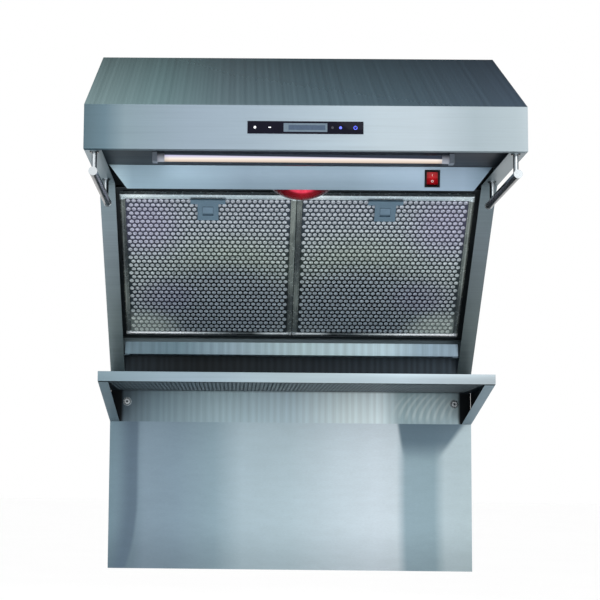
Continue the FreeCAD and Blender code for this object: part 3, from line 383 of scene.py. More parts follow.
def shelf_back_painted_light(shade):
    """Painted shade above the shelf, with painted soft upright reflections and painted bright arcs of
    reflection below it, and painted black shade at both ends.
    """
    x = shade.axis(0)
    z = shade.axis(2)
    upper_shade = shade.ramp(x, [(-0.37, rgb(32, 41, 48)), (-0.2, rgb(21, 28, 32)),
                           (0.1, rgb(32, 41, 48)), (0.37, rgb(51, 62, 71))])
    lower = shade.ramp(x, [(-0.37, rgb(73, 87, 98)), (-0.28, rgb(124, 147, 158)),
                           (-0.14, rgb(162, 186, 195)), (0.0, rgb(174, 196, 206)),
                           (0.12, rgb(208, 225, 229)), (0.19, rgb(221, 238, 243)),
                           (0.235, rgb(153, 177, 184)), (0.37, rgb(160, 181, 188))])
    wide = shade.noise((34, 1, 1.5), 2.0, 0.5, (0.7, 0.1, 0.4))
    reflection_bands = shade.maths("SINE", shade.maths("MULTIPLY_ADD", x, 420.0,
                                            shade.maths("MULTIPLY", wide, 9.0)))
    lower = shade.tint(lower, reflection_bands, -1.0, 1.0, 0.94, 1.06)
    upper_shade = shade.tint(upper_shade, reflection_bands, -1.0, 1.0, 0.80, 1.20)
    bend = shade.maths("ADD", x, shade.maths("MULTIPLY", shade.maths("POWER", shade.maths(
        "ADD", z, 0.70), 2.0), -9.0))
    arc_reflections = shade.maths("SINE", shade.maths("MULTIPLY", bend, 420.0))
    near = shade.blob((0.285, wall_y, -0.668), (0.085, 1.0, 0.032))
    arc_reflections = shade.maths("MULTIPLY", shade.remap(arc_reflections, -0.2, 0.9, 0.0, 1.0),
                       shade.remap(near, 0.0, 0.35, 0.0, 1.0))
    lower = shade.mix(shade.maths("MULTIPLY", arc_reflections, 0.42), lower, rgb(206, 220, 220))
    # Painted shade: the ends next to the brackets painted near black.
    ends = shade.remap(shade.maths("ABSOLUTE", x), 0.352, 0.358, 0.0, 1.0)
    lower = shade.mix(ends, lower, rgb(20, 25, 29))
    edge = shade.remap(z, -0.640, -0.630, 0.0, 1.0)
    return plain_behind(shade, shade.mix(edge, lower, upper_shade))


def splash_painted_light(shade):
    """Painted soft upright reflections on the backsplash, with a painted darker reflection band near each
    side, painted shading towards the foot and a painted shadow patch below the shelf on the right.
    """
    x = shade.axis(0)
    z = shade.axis(2)
    sway = shade.noise((3, 1, 4), 2.0, 0.5, (0.2, 0.5, 0.9))
    wobble = shade.maths("MULTIPLY_ADD", shade.maths("SUBTRACT", sway, 0.5), 0.012, x)
    base = shade.ramp(wobble, [(-0.381, rgb(114, 138, 150)), (-0.330, rgb(118, 140, 154)),
                               (-0.306, rgb(131, 152, 167)), (-0.24, rgb(131, 153, 168)),
                               (-0.16, rgb(142, 166, 178)), (-0.10, rgb(172, 193, 203)),
                               (0.00, rgb(176, 196, 205)), (0.11, rgb(196, 212, 221)),
                               (0.18, rgb(204, 218, 227)), (0.224, rgb(200, 214, 222)),
                               (0.243, rgb(146, 170, 181)), (0.303, rgb(142, 166, 176)),
                               (0.326, rgb(178, 196, 203)), (0.381, rgb(176, 194, 200))])
    # Painted shade: darker towards the foot.
    base = shade.times(base, shade.remap(z, -1.009, -0.90, 0.76, 1.0, True))
    # Painted shadow of the shelf: a patch high on the right.
    down = shade.remap(z, -0.704, -0.790, 0.0, 1.0)
    right = shade.maths("SUBTRACT", shade.maths("MULTIPLY_ADD", down, -0.062, 0.372), wobble)
    left = shade.maths("SUBTRACT", wobble, shade.maths("MULTIPLY_ADD", down, 0.014, 0.222))
    shelf_shadow = shade.maths("MULTIPLY", shade.remap(right, 0.0, 0.016, 0.0, 1.0, True),
                        shade.remap(left, 0.0, 0.010, 0.0, 1.0, True))
    shelf_shadow = shade.maths("MULTIPLY", shelf_shadow, shade.remap(down, 0.35, 1.0, 0.95, 0.0, True))
    base = shade.mix(shelf_shadow, base, rgb(94, 116, 130))
    # A painted dark reflection band curving near the left side.
    bend = shade.maths("POWER", shade.remap(z, -0.704, -1.009, 0.0, 1.0), 4.0)
    edge = shade.maths("SUBTRACT", shade.maths("MULTIPLY_ADD", bend, -0.026, -0.314), wobble)
    dark_reflection_band = shade.maths("MULTIPLY", shade.remap(edge, 0.0, 0.010, 0.0, 1.0, True),
                       shade.remap(edge, 0.055, 0.018, 0.0, 1.0, True))
    base = shade.mix(shade.maths("MULTIPLY", dark_reflection_band, 0.8), base, rgb(88, 107, 124))
    return plain_behind(shade, base)


def trough_painted_reflections(shade):
    x = shade.axis(0)
    # Painted reflections: lighter across the middle, with soft upright reflection bands.
    base = shade.ramp(x, [(-0.348, rgb(111, 133, 145)), (-0.24, rgb(110, 136, 148)),
                          (-0.12, rgb(148, 170, 182)), (0.03, rgb(174, 198, 203)),
                          (0.20, rgb(187, 211, 221)), (0.27, rgb(150, 174, 189)),
                          (0.348, rgb(141, 162, 177))])
    wide = shade.noise((30, 1, 1), 3.0, 0.6)
    reflection_bands = shade.maths("SINE", shade.maths("MULTIPLY_ADD", x, 340.0,
                                            shade.maths("MULTIPLY", wide, 9.0)))
    return shade.tint(base, reflection_bands, -1.0, 1.0, 0.92, 1.08)


def polished(name, light, dark, grain):
    """Polished trim with long soft reflections."""
    shade = Shade(name, 0.92)
    long = shade.noise(grain, 2.0, 0.5)
    fine = shade.noise(tuple(size * 12 for size in grain), 2.0, 0.6)
    colour = shade.mix(shade.remap(long, 0.38, 0.62, 0.0, 1.0, True), dark, light)
    shade.colour(shade.tint(colour, fine, 0.3, 0.7, 0.92, 1.08))
    shade.rough(fine, 0.16, 0.30)
    shade.bump(fine, 0.06, 0.0002)
    return shade.material


def chrome(name, scale):
    """Bright chrome with painted reflections: a painted highlight along the middle of a bar and painted dark
    reflections beside it.
    """
    shade = Shade(name, 0.9)
    turn = shade.maths("MULTIPLY_ADD", shade.facing(2), 0.8, shade.maths("MULTIPLY", shade.facing(0), 0.6))
    fine = shade.noise(scale, 2.0, 0.6)
    turn = shade.maths("ADD", turn, shade.remap(fine, 0.3, 0.7, -0.03, 0.03))
    shade.colour(shade.ramp(turn, [(-1.0, rgb(30, 34, 38)), (-0.5, rgb(46, 52, 56)),
                                   (-0.3, rgb(136, 146, 152)), (-0.12, rgb(226, 232, 236)),
                                   (0.12, rgb(206, 214, 218)), (0.3, rgb(84, 92, 98)),
                                   (0.6, rgb(34, 39, 43)), (0.85, rgb(112, 122, 128)),
                                   (1.0, rgb(160, 168, 172))]))
    shade.rough(fine, 0.14, 0.24)
    shade.bump(fine, 0.04, 0.0002)
    return shade.material


def bolt_chrome():
    """Bolt heads with painted shade in the socket and a painted highlight ring, standing on washers."""
    low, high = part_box("shelf_bolts")
    washer = (high.z - low.z) / 2
    shade = Shade("bolt_chrome", 0.8)
    across = shade.maths("SUBTRACT", shade.maths("ABSOLUTE", shade.axis(0)), high.x - washer)
    up = shade.maths("SUBTRACT", shade.axis(2), (low.z + high.z) / 2)
    away = shade.maths("SQRT", shade.maths("MULTIPLY_ADD", across, across, shade.maths("MULTIPLY", up, up)))
    fine = shade.noise((500, 500, 500), 2.0, 0.6)
    # Painted shade in the socket, a painted highlight ring and a painted dark reflection at the head's rim.
    rings = shade.ramp(away, [(0.0, rgb(40, 46, 52)), (0.0018, rgb(52, 60, 66)), (0.0026, rgb(206, 216, 222)),
                              (0.0052, rgb(238, 244, 248)), (0.0058, rgb(70, 80, 86)),
                              (0.0066, rgb(120, 132, 138)), (washer, rgb(176, 188, 194))])
    shade.colour(shade.tint(rings, fine, 0.3, 0.7, 0.92, 1.08))
    shade.rough(fine, 0.2, 0.3)
    shade.bump(fine, 0.05, 0.0002)
    return shade.material


def tube_glow():
    """A lit tube: violet white above, warm white below, with painted shade along its top and dimmer at its
    ends.
    """
    shade = Shade("lamp_tube_glow", 0.0, 0.3)
    x = shade.axis(0)
    low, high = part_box("lamp_tube")
    height = shade.remap(shade.axis(2), low.z, high.z, 0.0, 1.0)
    lit = shade.ramp(height, [(0.0, rgb(206, 186, 168)), (0.14, rgb(240, 222, 206)),
                              (0.34, rgb(255, 244, 234)), (0.50, rgb(232, 226, 242)),
                              (0.74, rgb(198, 198, 232)), (1.0, rgb(150, 154, 186))])
    # Painted shade: the top of the tube painted dark, more of it towards the right.
    above = shade.maths("SUBTRACT", height, shade.remap(x, low.x, high.x, 0.72, 0.36))
    lit = shade.mix(shade.remap(above, 0.0, 0.12, 0.0, 1.0, True), lit, rgb(50, 58, 72))
    ends = shade.maths("ABSOLUTE", x)
    lit = shade.times(lit, shade.remap(ends, high.x - 0.022, high.x, 1.0, 0.55))
    cloud = shade.noise((18, 60, 60), 2.0)
    shade.colour(shade.tint(rgb(46, 46, 52), cloud, 0.3, 0.7, 0.9, 1.1))
    shade.glow(lit, 0.95)
    shade.rough(cloud, 0.3, 0.4)
    shade.bump(cloud, 0.03, 0.0002)
    shade.set(Specular_IOR_Level=0.1)
    return shade.material


def ruby_glow():
    """Red lamp glass: dark ruby glowing, with painted shade towards its sides and back and a painted
    highlight streak high on its front.
    """
    low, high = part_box("heat_lamp_bulb")
    centre = (low + high) / 2
    shade = Shade("heat_lamp_ruby_glass", 0.0, 0.08)
    swirl = shade.noise((60, 20, 60), 2.0, 0.5)
    shade.colour(shade.mix(swirl, rgb(40, 2, 8), rgb(78, 4, 14)))
    away = shade.maths("ABSOLUTE", shade.maths("SUBTRACT", shade.axis(0), centre.x))
    # Painted shade: the glow falls off towards the sides and the back.
    lit = shade.ramp(away, [(0.0, rgb(150, 6, 24)), (0.018, rgb(124, 4, 18)), (0.034, rgb(78, 1, 10)),
                            (0.048, rgb(44, 0, 5)), (0.058, rgb(20, 0, 3))])
    lit = shade.times(lit, shade.remap(shade.axis(1), centre.y + 0.012, centre.y - 0.026, 0.12, 1.0))
    # A painted highlight streak.
    highlight_streak = shade.blob((centre.x - 0.001, centre.y - 0.038, low.z + 0.009), (0.032, 0.012, 0.010))
    lit = shade.mix(shade.remap(highlight_streak, 0.0, 0.6, 0.0, 1.0, True), lit, rgb(255, 70, 100))
    shade.glow(shade.tint(lit, swirl, 0.3, 0.7, 0.75, 1.15), 0.85)
    shade.rough(swirl, 0.05, 0.12)
    shade.bump(swirl, 0.10, 0.0006)
    shade.set(IOR=1.5, Specular_IOR_Level=0.25, Coat_Weight=0.15, Coat_Roughness=0.04)
    return shade.material


def glass_black():
    shade = Shade("control_black_glass", 0.0, 0.06)
    cloud = shade.noise((60, 60, 60), 3.0)
    shade.colour(shade.mix(cloud, rgb(12, 13, 26), rgb(20, 20, 36)))
    shade.rough(cloud, 0.04, 0.10)
    shade.bump(cloud, 0.02, 0.0001)
    shade.set(Specular_IOR_Level=0.10)
    return shade.material


def lit_mark(name, colour, strength):
    shade = Shade(name, 0.0, 0.4)
    cloud = shade.noise((900, 900, 900), 2.0)
    pale = shade.mix(cloud, colour, tuple(min(1.0, part * 1.15) for part in colour[:3]) + (1.0,))
    shade.colour(pale)
    shade.glow(pale, strength)
    shade.rough(cloud, 0.35, 0.45)
    shade.bump(cloud, 0.05, 0.0001)
    return shade.material


def display_glass():
    """The grey-blue display window, a little darker in its middle field."""
    shade = Shade("display_grey_blue", 0.0, 0.25)
    low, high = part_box("display_module")
    inner_x = shade.within(shade.axis(0), (low.x + high.x) / 2 + 0.0025, (high.x - low.x) / 2 - 0.0055,
                           0.0008)
    inner_z = shade.within(shade.axis(2), (low.z + high.z) / 2, (high.z - low.z) / 2 - 0.0028, 0.0008)
    field = shade.maths("MULTIPLY", inner_x, inner_z)
    cloud = shade.noise((420, 420, 420), 3.0, 0.6)
    base = shade.mix(field, rgb(112, 130, 144), rgb(78, 95, 116))
    colour = shade.tint(base, cloud, 0.3, 0.7, 0.88, 1.12)
    shade.colour(colour)
    shade.rough(cloud, 0.3, 0.4)
    shade.set(Specular_IOR_Level=0.15)
    shade.bump(cloud, 0.03, 0.0001)
    return shade.material


def rocker_red():
    shade = Shade("rocker_lit_red", 0.0, 0.25)
    centre = (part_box("switch_rocker")[0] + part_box("switch_rocker")[1]) / 2
    hot = shade.blob((centre.x, centre.y, centre.z + 0.002), (0.022, 0.03, 0.024))
    cloud = shade.noise((300, 300, 300), 2.0)
    lit = shade.ramp(hot, [(0.0, rgb(84, 4, 10)), (0.45, rgb(142, 8, 18)), (1.0, rgb(206, 22, 32))])
    shade.colour(shade.tint(lit, cloud, 0.3, 0.7, 0.93, 1.05))
    shade.glow(lit, 0.12)
    shade.rough(cloud, 0.18, 0.28)
    shade.bump(cloud, 0.05, 0.0001)
    shade.set(Specular_IOR_Level=0.25)
    return shade.material


FINISHES = {
    "casing_steel": casing_steel(),
    "canopy_steel": brushed("canopy_ceiling_steel", ceiling_painted_shade, ALONG_X, 0.15, (0.5, 0.65)),
    "panel_steel": brushed("switch_panel_steel", panel_painted_lamplight, ALONG_X, 0.5, contrast=0.03),
    "shelf_steel": brushed("shelf_steel", shelf_painted_light, ALONG_X, 0.7, contrast=0.04, grazing=0.1),
    "splash_steel": brushed("backsplash_steel", splash_painted_light, (160, 600, 600), 0.7, contrast=0.045),
    "trough_steel": brushed("trough_steel", trough_painted_reflections, ALONG_Z, 0.7),
    "filter_trim": polished("filter_trim_polished", rgb(150, 158, 158), rgb(82, 90, 92), (9, 9, 9)),
    "latch_plastic": cast("latch_grey_plastic", rgb(108, 134, 152), rgb(92, 118, 136), 500, 0.0,
                          (0.32, 0.45), (0.06, 0.0002), 0.2),
    "slider_plastic": cast("slider_grey_plastic", rgb(120, 146, 166), rgb(104, 130, 150), 500, 0.0,
                           (0.30, 0.42), (0.06, 0.0002), 0.2),
    "chrome_rail": chrome("rail_chrome", (300, 20, 300)),
    "bolt_chrome": bolt_chrome(),
    "screw_zinc": cast("screw_zinc", rgb(176, 180, 178), rgb(140, 146, 146), 700, 0.85, (0.25, 0.4)),
    "lamp_diffuser": tube_glow(),
    "holder_plastic": cast("lamp_holder_plastic", rgb(126, 136, 148), rgb(108, 118, 130), 400, 0.0,
                           (0.45, 0.6), (0.05, 0.0002), 0.2),
    "lamp_red_glass": ruby_glow(),
    "socket_ceramic": cast("socket_ceramic", rgb(232, 228, 218), rgb(214, 208, 198), 260, 0.0,
                           (0.25, 0.4), (0.05, 0.0002)),
    "control_black": glass_black(),
    "display_grey": display_glass(),
    "board_green": cast("board_green", rgb(30, 96, 52), rgb(18, 66, 36), 600, 0.0, (0.4, 0.6)),
    "switch_black": cast("switch_black_plastic", rgb(26, 24, 28), rgb(14, 14, 16), 500, 0.0,
                         (0.35, 0.5), (0.10, 0.0002), 0.12),
    "switch_red": rocker_red(),
    "galvanised": spangled("galvanised_sheet", rgb(176, 184, 188), rgb(134, 144, 150), 90),
    "wheel_metal": cast("wheel_aluminium", rgb(186, 190, 192), rgb(150, 156, 160), 300, 0.9,
                        (0.3, 0.45)),
    "motor_metal": cast("motor_enamel", rgb(74, 78, 84), rgb(52, 56, 60), 300, 0.6, (0.35, 0.5)),
    "collar_metal": spangled("collar_galvanised", rgb(182, 190, 194), rgb(142, 152, 158), 110),
    "black_plastic": cast("black_plastic", rgb(34, 35, 38), rgb(22, 23, 25), 400, 0.0,
                          (0.4, 0.6), (0.12, 0.0002)),
}
SPECIAL = {
    "top_panel": brushed("top_panel_steel", outer_painted_shading, ALONG_X, 0.7, grazing=0.5),
    "side_panel_left": brushed("side_panel_steel", side_painted_shade, (5, 5, 420), 0.7),
    "lamp_bay": brushed("lamp_bay_steel", bay_painted_shade, ALONG_X, 0.6),
    "filter_seat": brushed("filter_seat_steel", bay_painted_shade, ALONG_X, 0.6),
    "shelf_back_plate": brushed("shelf_back_steel", shelf_back_painted_light, ALONG_Z, 0.7, contrast=0.05),
}
SPECIAL["back_panel"] = SPECIAL["top_panel"]
SPECIAL["side_panel_right"] = SPECIAL["side_panel_left"]
SPECIAL["shelf_bracket_left"] = brushed("shelf_bracket_steel", bracket_painted_shade, (5, 5, 420), 0.5,
                                        contrast=0.04, grazing=0.1)
SPECIAL["shelf_bracket_right"] = SPECIAL["shelf_bracket_left"]
SPECIAL["filter_cradle"] = SPECIAL["filter_seat"]


# ---------------------------------------------------------------- piece helpers

def tidy_normals(mesh, angle=35.0):
    mesh.shade_smooth()
    mesh.set_sharp_from_angle(angle=math.radians(angle))


def add_piece(name, bm, body, material, replaced=(), place=None, angle=35.0):
    """A finished mesh piece that rides on a body and may stand for CAD nodes."""
    mesh = bpy.data.meshes.new(name)
    bmesh.ops.recalc_face_normals(bm, faces=bm.faces)
    bm.to_mesh(mesh)
    bm.free()
    tidy_normals(mesh, angle)
    mesh.materials.append(material)
    obj = bpy.data.objects.new(name, mesh)
    bpy.context.scene.collection.objects.link(obj)
    if place is not None:
        obj.matrix_world = place
    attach(obj, body)
    if replaced:
        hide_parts(*replaced)
    return obj


def soften(obj, width, segments=2):
    """Round an object's hard edges with modifiers; its own mesh stays as it is."""
    weld = obj.modifiers.new("weld", "WELD")
    weld.merge_threshold = 0.00002
    bevel = obj.modifiers.new("soft_edges", "BEVEL")
    bevel.width = width
    bevel.segments = segments
    bevel.limit_method = "ANGLE"
    bevel.angle_limit = math.radians(40)
    bevel.harden_normals = True
    return obj


def block(bm, low, high, rounding=0.0, segments=2):
    """A box between two corners, its edges rounded."""
    made = bmesh.ops.create_cube(bm, size=1.0)["verts"]
    low, high = Vector(low), Vector(high)
    for vertex in made:
        vertex.co = Vector([low[i] + (vertex.co[i] + 0.5) * (high[i] - low[i]) for i in range(3)])
    if rounding:
        edges = list({edge for vertex in made for edge in vertex.link_edges})
        bmesh.ops.bevel(bm, geom=edges, offset=rounding, segments=segments, profile=0.5,
                        affect="EDGES")


def turned(bm, profile, centre, axis="y", sides=32):
    """A solid of revolution: profile is (radius, along) pairs, closed on the axis."""
    rings = []
    for radius, along in profile:
        ring = []
        for step in range(sides if radius > 0 else 1):
            angle = 2 * math.pi * step / sides
            a, b = radius * math.cos(angle), radius * math.sin(angle)
            offset = {"x": (along, a, b), "y": (a, along, b), "z": (a, b, along)}[axis]
            ring.append(bm.verts.new(Vector(centre) + Vector(offset)))
        rings.append(ring)
    for one, two in zip(rings, rings[1:]):
        for step in range(sides):
            after = (step + 1) % sides
            if len(one) == 1 and len(two) > 1:
                bm.faces.new((one[0], two[step], two[after]))
            elif len(two) == 1 and len(one) > 1:
                bm.faces.new((one[step], one[after], two[0]))
            elif len(one) > 1:
                bm.faces.new((one[step], one[after], two[after], two[step]))


def perforate(bm, size, cells, radius, border=(0.0, 0.0), sides=16):
    """A flat sheet about its own middle with round holes in a brick pattern."""
    width, height = size
    columns, rows = cells
    inner_w, inner_h = width - 2 * border[0], height - 2 * border[1]
    cell_w, cell_h = inner_w / columns, inner_h / rows
    left, low = -inner_w / 2, -inner_h / 2
    known = {}

    def vertex(x, y):
        key = (round(x * 1e6), round(y * 1e6))
        if key not in known:
            known[key] = bm.verts.new((x, y, 0.0))
        return known[key]

    def hole_cell(x, y):
        w, h = cell_w / 2, cell_h / 2
        rim = [(w, 0), (w, h), (0, h), (-w, h), (-w, 0), (-w, -h), (0, -h), (w, -h)]
        rim = [vertex(x + dx, y + dy) for dx, dy in rim]
        ring = []
        for step in range(sides):
            angle = 2 * math.pi * step / sides
            ring.append(bm.verts.new((x + radius * math.cos(angle), y + radius * math.sin(angle), 0.0)))
        share = sides // 8
        for index in range(8):
            arc = [ring[(index * share + step) % sides] for step in range(share, -1, -1)]
            bm.faces.new([rim[index], rim[(index + 1) % 8]] + arc)

    def half_cell(x, inner_x, y):
        h = cell_h / 2
        outline = [(x, y - h), (inner_x, y - h), (inner_x, y), (inner_x, y + h), (x, y + h)]
        bm.faces.new([vertex(px, py) for px, py in outline])

    for row in range(rows):
        y = low + (row + 0.5) * cell_h
        odd = row % 2
        for column in range(columns - odd):
            hole_cell(left + (column + 0.5 + odd * 0.5) * cell_w, y)
        if odd:
            half_cell(left, left + cell_w / 2, y)
            half_cell(-left, -left - cell_w / 2, y)
    if border[0] > 0:
        edges = [edge for edge in bm.edges if edge.is_boundary]
        for edge in edges:
            a, b = (v.co.copy() for v in edge.verts)
            for axis, limit, reach in ((0, inner_w / 2, width / 2), (1, inner_h / 2, height / 2)):
                if abs(abs(a[axis]) - limit) < 1e-7 and abs(a[axis] - b[axis]) < 1e-7:
                    sign = math.copysign(1.0, a[axis])
                    far = [Vector(a), Vector(b)]
                    for point in far:
                        point[axis] = sign * reach
                    bm.faces.new((edge.verts[0], edge.verts[1], vertex(far[1].x, far[1].y),
                                  vertex(far[0].x, far[0].y)))
        for sx in (-1, 1):
            for sy in (-1, 1):
                corner = [(inner_w / 2, inner_h / 2), (width / 2, inner_h / 2), (width / 2, height / 2),
                          (inner_w / 2, height / 2)]
                bm.faces.new([vertex(sx * x, sy * y) for x, y in corner])


def thicken(bm, thickness):
    """Give a flat sheet at z = 0 its thickness, up to z = thickness."""
    bmesh.ops.recalc_face_normals(bm, faces=bm.faces)
    top = bmesh.ops.extrude_face_region(bm, geom=list(bm.faces))["geom"]
    for item in top:
        if isinstance(item, bmesh.types.BMVert):
            item.co.z += thickness


def sweep_bar(bm, profile, outer, seam=0.0):
    """Four mitred bars about a rectangle: profile is (inset, z) pairs, closed."""
    half_x, half_y = outer
    for side in range(4):
        along, across = (half_x, half_y) if side % 2 == 0 else (half_y, half_x)
        turn = Matrix.Rotation(math.pi / 2 * side, 3, "Z")
        rings = []
        for end in (-1, 1):
            ring = []
            for inset, z in profile:
                ring.append(bm.verts.new(turn @ Vector((end * (along - inset - seam), -(across - inset), z))))
            rings.append(ring)
        count = len(profile)
        for index in range(count):
            after = (index + 1) % count
            bm.faces.new((rings[0][index], rings[0][after], rings[1][after], rings[1][index]))
        bm.faces.new(rings[0][::-1])
        bm.faces.new(rings[1])


def plate_frame(node):
    """Where a flat slanted plate lies: a matrix with x to the right, y down its slope and z
    inwards from the middle of its outer face, and the plate's size along them."""
    mesh = nodes[node].data
    largest = max(mesh.polygons, key=lambda face: face.area)
    inward = largest.normal.copy()
    if inward.y < 0:
        inward.negate()
    right = Vector((1, 0, 0))
    down = inward.cross(right)
    axes = (right, down, inward)
    spans = []
    for axis in axes:
        reach = [vertex.co.dot(axis) for vertex in mesh.vertices]
        spans.append((min(reach), max(reach)))
    origin = sum((axis * (sum(spans[i]) / 2 if i < 2 else spans[2][0])
                  for i, axis in enumerate(axes)), Vector())
    place = Matrix.Identity(4)
    for column, axis in enumerate(axes):
        for row in range(3):
            place[row][column] = axis[row]
    for row in range(3):
        place[row][3] = origin[row]
    return place, Vector([high - low for low, high in spans])


# ---------------------------------------------------------------- CAD nodes that stay

for name, node in nodes.items():
    slot_name = node.data.materials[0].name
    material = SPECIAL.get(name) or FINISHES.get(slot_name)
    if material is not None:
        node.data.materials[0] = material

for name in ("front_panel", "top_panel", "side_panel_left", "side_panel_right", "backsplash",
             "shelf_bracket_left", "shelf_bracket_right", "grease_trough", "switch_panel"):
    soften(nodes[name], 0.0004)
for name in ("filter_latch_left", "filter_latch_right", "latch_slider_left", "latch_slider_right",
             "lamp_end_holders", "switch_bezel", "switch_rocker", "shelf_bolts", "rail_end_caps",
             "cable_gland", "blower_motor", "lamp_driver"):
    soften(nodes[name], 0.0006)


# ---------------------------------------------------------------- filters

def filter_tones(shade, mirror, ground, violet, green, shadow, indigo, corner):
    """Soft colours that the filter reflects: a dark round shadow low down, tints beside it."""
    spots = (((0.125 * mirror, -0.10, 0), (0.10, 0.10, 1.0), 0.0, 0.8, 0.42, violet),
             ((-0.05 * mirror, -0.010, 0), (0.17, 0.10, 1.0), 0.0, 0.8, 0.40, green),
             ((-0.035 * mirror, 0.085, 0), (0.185, 0.125, 1.0), 0.0, 0.55, 0.92, shadow),
             ((0.090 * mirror, 0.070, 0), (0.09, 0.06, 1.0), 0.0, 0.8, 0.45, indigo),
             ((0.140 * mirror, 0.155, 0), (0.105, 0.060, 1.0), 0.05, 0.7, 0.9, corner))
    for centre, radii, low, high, share, colour in spots:
        blob = shade.blob(centre, radii)
        ground = shade.mix(shade.remap(blob, low, high, 0.0, share, True), ground, colour)
    return ground


def filter_sheet_shade(mirror):
    shade = Shade("filter_sheet_%s" % ("right" if mirror > 0 else "left"), 0.6)
    grain = shade.noise((90, 90, 90), 3.0, 0.6)
    # Painted reflections: the perforated web painted dark, with the painted reflections and round shadow of
    # filter_tones.
    ground = shade.ramp(shade.axis(1), [(-0.16, rgb(56, 66, 78)), (-0.08, rgb(48, 60, 68)),
                                        (0.0, rgb(48, 60, 62)), (0.16, rgb(46, 56, 62))])
    ground = filter_tones(shade, mirror, ground, rgb(88, 80, 112), rgb(84, 96, 80), rgb(12, 16, 24),
                          rgb(48, 44, 74), rgb(138, 150, 146))
    shade.colour(shade.tint(ground, grain, 0.3, 0.7, 0.86, 1.14))
    shade.rough(grain, 0.28, 0.42)
    shade.bump(grain, 0.08, 0.0003)
    return shade.material


def filter_pad_shade(mirror):
    """Layers of bright expanded mesh: diamonds over a crumpled ground, with the painted reflections and round
    shadow of filter_tones.
    """
    shade = Shade("filter_pad_%s" % ("right" if mirror > 0 else "left"), 0.5)
    weave_a = shade.waves((150, 150, 0), 2.0, 2.0, (0, 0, math.radians(32)))
    weave_b = shade.waves((150, 150, 0), 2.0, 2.0, (0, 0, math.radians(-58)))
    weave = shade.maths("MAXIMUM", weave_a, weave_b)
    crumple = shade.noise((260, 260, 260), 3.0, 0.65)
    ground = shade.ramp(shade.axis(1), [(-0.16, rgb(206, 214, 226)), (-0.04, rgb(210, 222, 228)),
                                        (0.05, rgb(206, 218, 220)), (0.16, rgb(196, 208, 216))])
    ground = filter_tones(shade, mirror, ground, rgb(196, 186, 226), rgb(196, 214, 190),
                          rgb(182, 196, 208), rgb(178, 178, 206), rgb(226, 236, 232))
    ground = shade.tint(ground, weave, 0.25, 0.9, 0.52, 1.26)
    shade.colour(shade.tint(ground, crumple, 0.3, 0.7, 0.66, 1.32))
    shade.rough(crumple, 0.3, 0.5)
    shade.bump(weave, 0.35, 0.0008)
    return shade.material


def filter_trim_shade(mirror, half_height):
    """Polished trim with painted reflections: a painted light top bar and a painted bright highlight streak
    fading along the foot.
    """
    shade = Shade("filter_trim_%s" % ("right" if mirror > 0 else "left"), 0.6)
    x = shade.axis(0)
    y = shade.axis(1)
    long = shade.noise((9, 9, 9), 2.0, 0.5)
    fine = shade.noise((110, 110, 110), 2.0, 0.6)
    sides = shade.mix(shade.remap(long, 0.38, 0.62, 0.0, 1.0, True), rgb(84, 92, 94), rgb(142, 152, 148))
    top = shade.mix(shade.remap(long, 0.4, 0.6, 0.0, 1.0, True), rgb(186, 204, 212), rgb(232, 246, 250))
    foot_reflection = shade.ramp(shade.maths("MULTIPLY", x, mirror), [
        (-0.17, rgb(206, 214, 218)), (-0.12, rgb(190, 200, 204)), (-0.09, rgb(66, 74, 76)),
        (-0.05, rgb(84, 92, 96)), (0.0, rgb(170, 180, 184)), (0.06, rgb(240, 246, 250)),
        (0.17, rgb(246, 250, 253))])
    colour = shade.mix(shade.remap(y, -half_height + 0.001, -half_height, 0.0, 1.0), sides, top)
    colour = shade.mix(shade.remap(y, half_height - 0.001, half_height, 0.0, 1.0), colour, foot_reflection)
    shade.colour(shade.tint(colour, fine, 0.3, 0.7, 0.92, 1.08))
    shade.rough(fine, 0.16, 0.30)
    shade.bump(fine, 0.06, 0.0002)
    return shade.material


def corrugated_pad(bm, size, step, swell, pitch):
    """A closed pad whose outer face is drawn up in crossing ridges like expanded mesh."""
    width, height, depth = size
    columns, rows = round(width / step), round(height / step)
    faces = []
    grid = []
    for row in range(rows + 1):
        y = -height / 2 + height * row / rows
        line = []
        for column in range(columns + 1):
            x = -width / 2 + width * column / columns
            ridge = math.sin(2 * math.pi * (x + 0.62 * y) / pitch) * math.sin(
                2 * math.pi * (x - 0.62 * y) / pitch)
            line.append(bm.verts.new((x, y, swell * (1 - ridge) / 2)))
        grid.append(line)
    for row in range(rows):
        for column in range(columns):
            faces.append(bm.faces.new((grid[row][column], grid[row][column + 1],
                                       grid[row + 1][column + 1], grid[row + 1][column])))
    raised = bmesh.ops.extrude_face_region(bm, geom=faces)["geom"]
    for item in raised:
        if isinstance(item, bmesh.types.BMVert):
            item.co.z = depth


TRIM_BAR = 11.0
HEEL_RADIUS = 6.0
FRAME_PROFILE = [(0.0, 1.0), (0.25, 0.3), (1.0, 0.0), (3.0, 0.0), (6.6, 0.0), (7.4, 0.35), (8.4, 1.5),
                 (10.4, 1.7), (TRIM_BAR, 2.3), (TRIM_BAR, 12.0), (5.0, 12.0), (2.5, 12.0), (0.0, 12.0),
                 (0.0, 9.5), (0.0, 7.5), (0.0, 6.0), (0.0, 4.5), (0.0, 2.5)]


def round_heel(bm, edge):
    """Round the trim's lower edge about the line that the filter turns on."""
    radius = HEEL_RADIUS * MM
    pivot = Vector((edge - radius, radius - MM))
    for vertex in bm.verts:
        arm = Vector((vertex.co.y, vertex.co.z)) - pivot
        if arm.x > 0 and arm.length > radius:
            vertex.co.y, vertex.co.z = pivot + arm * (radius / arm.length)


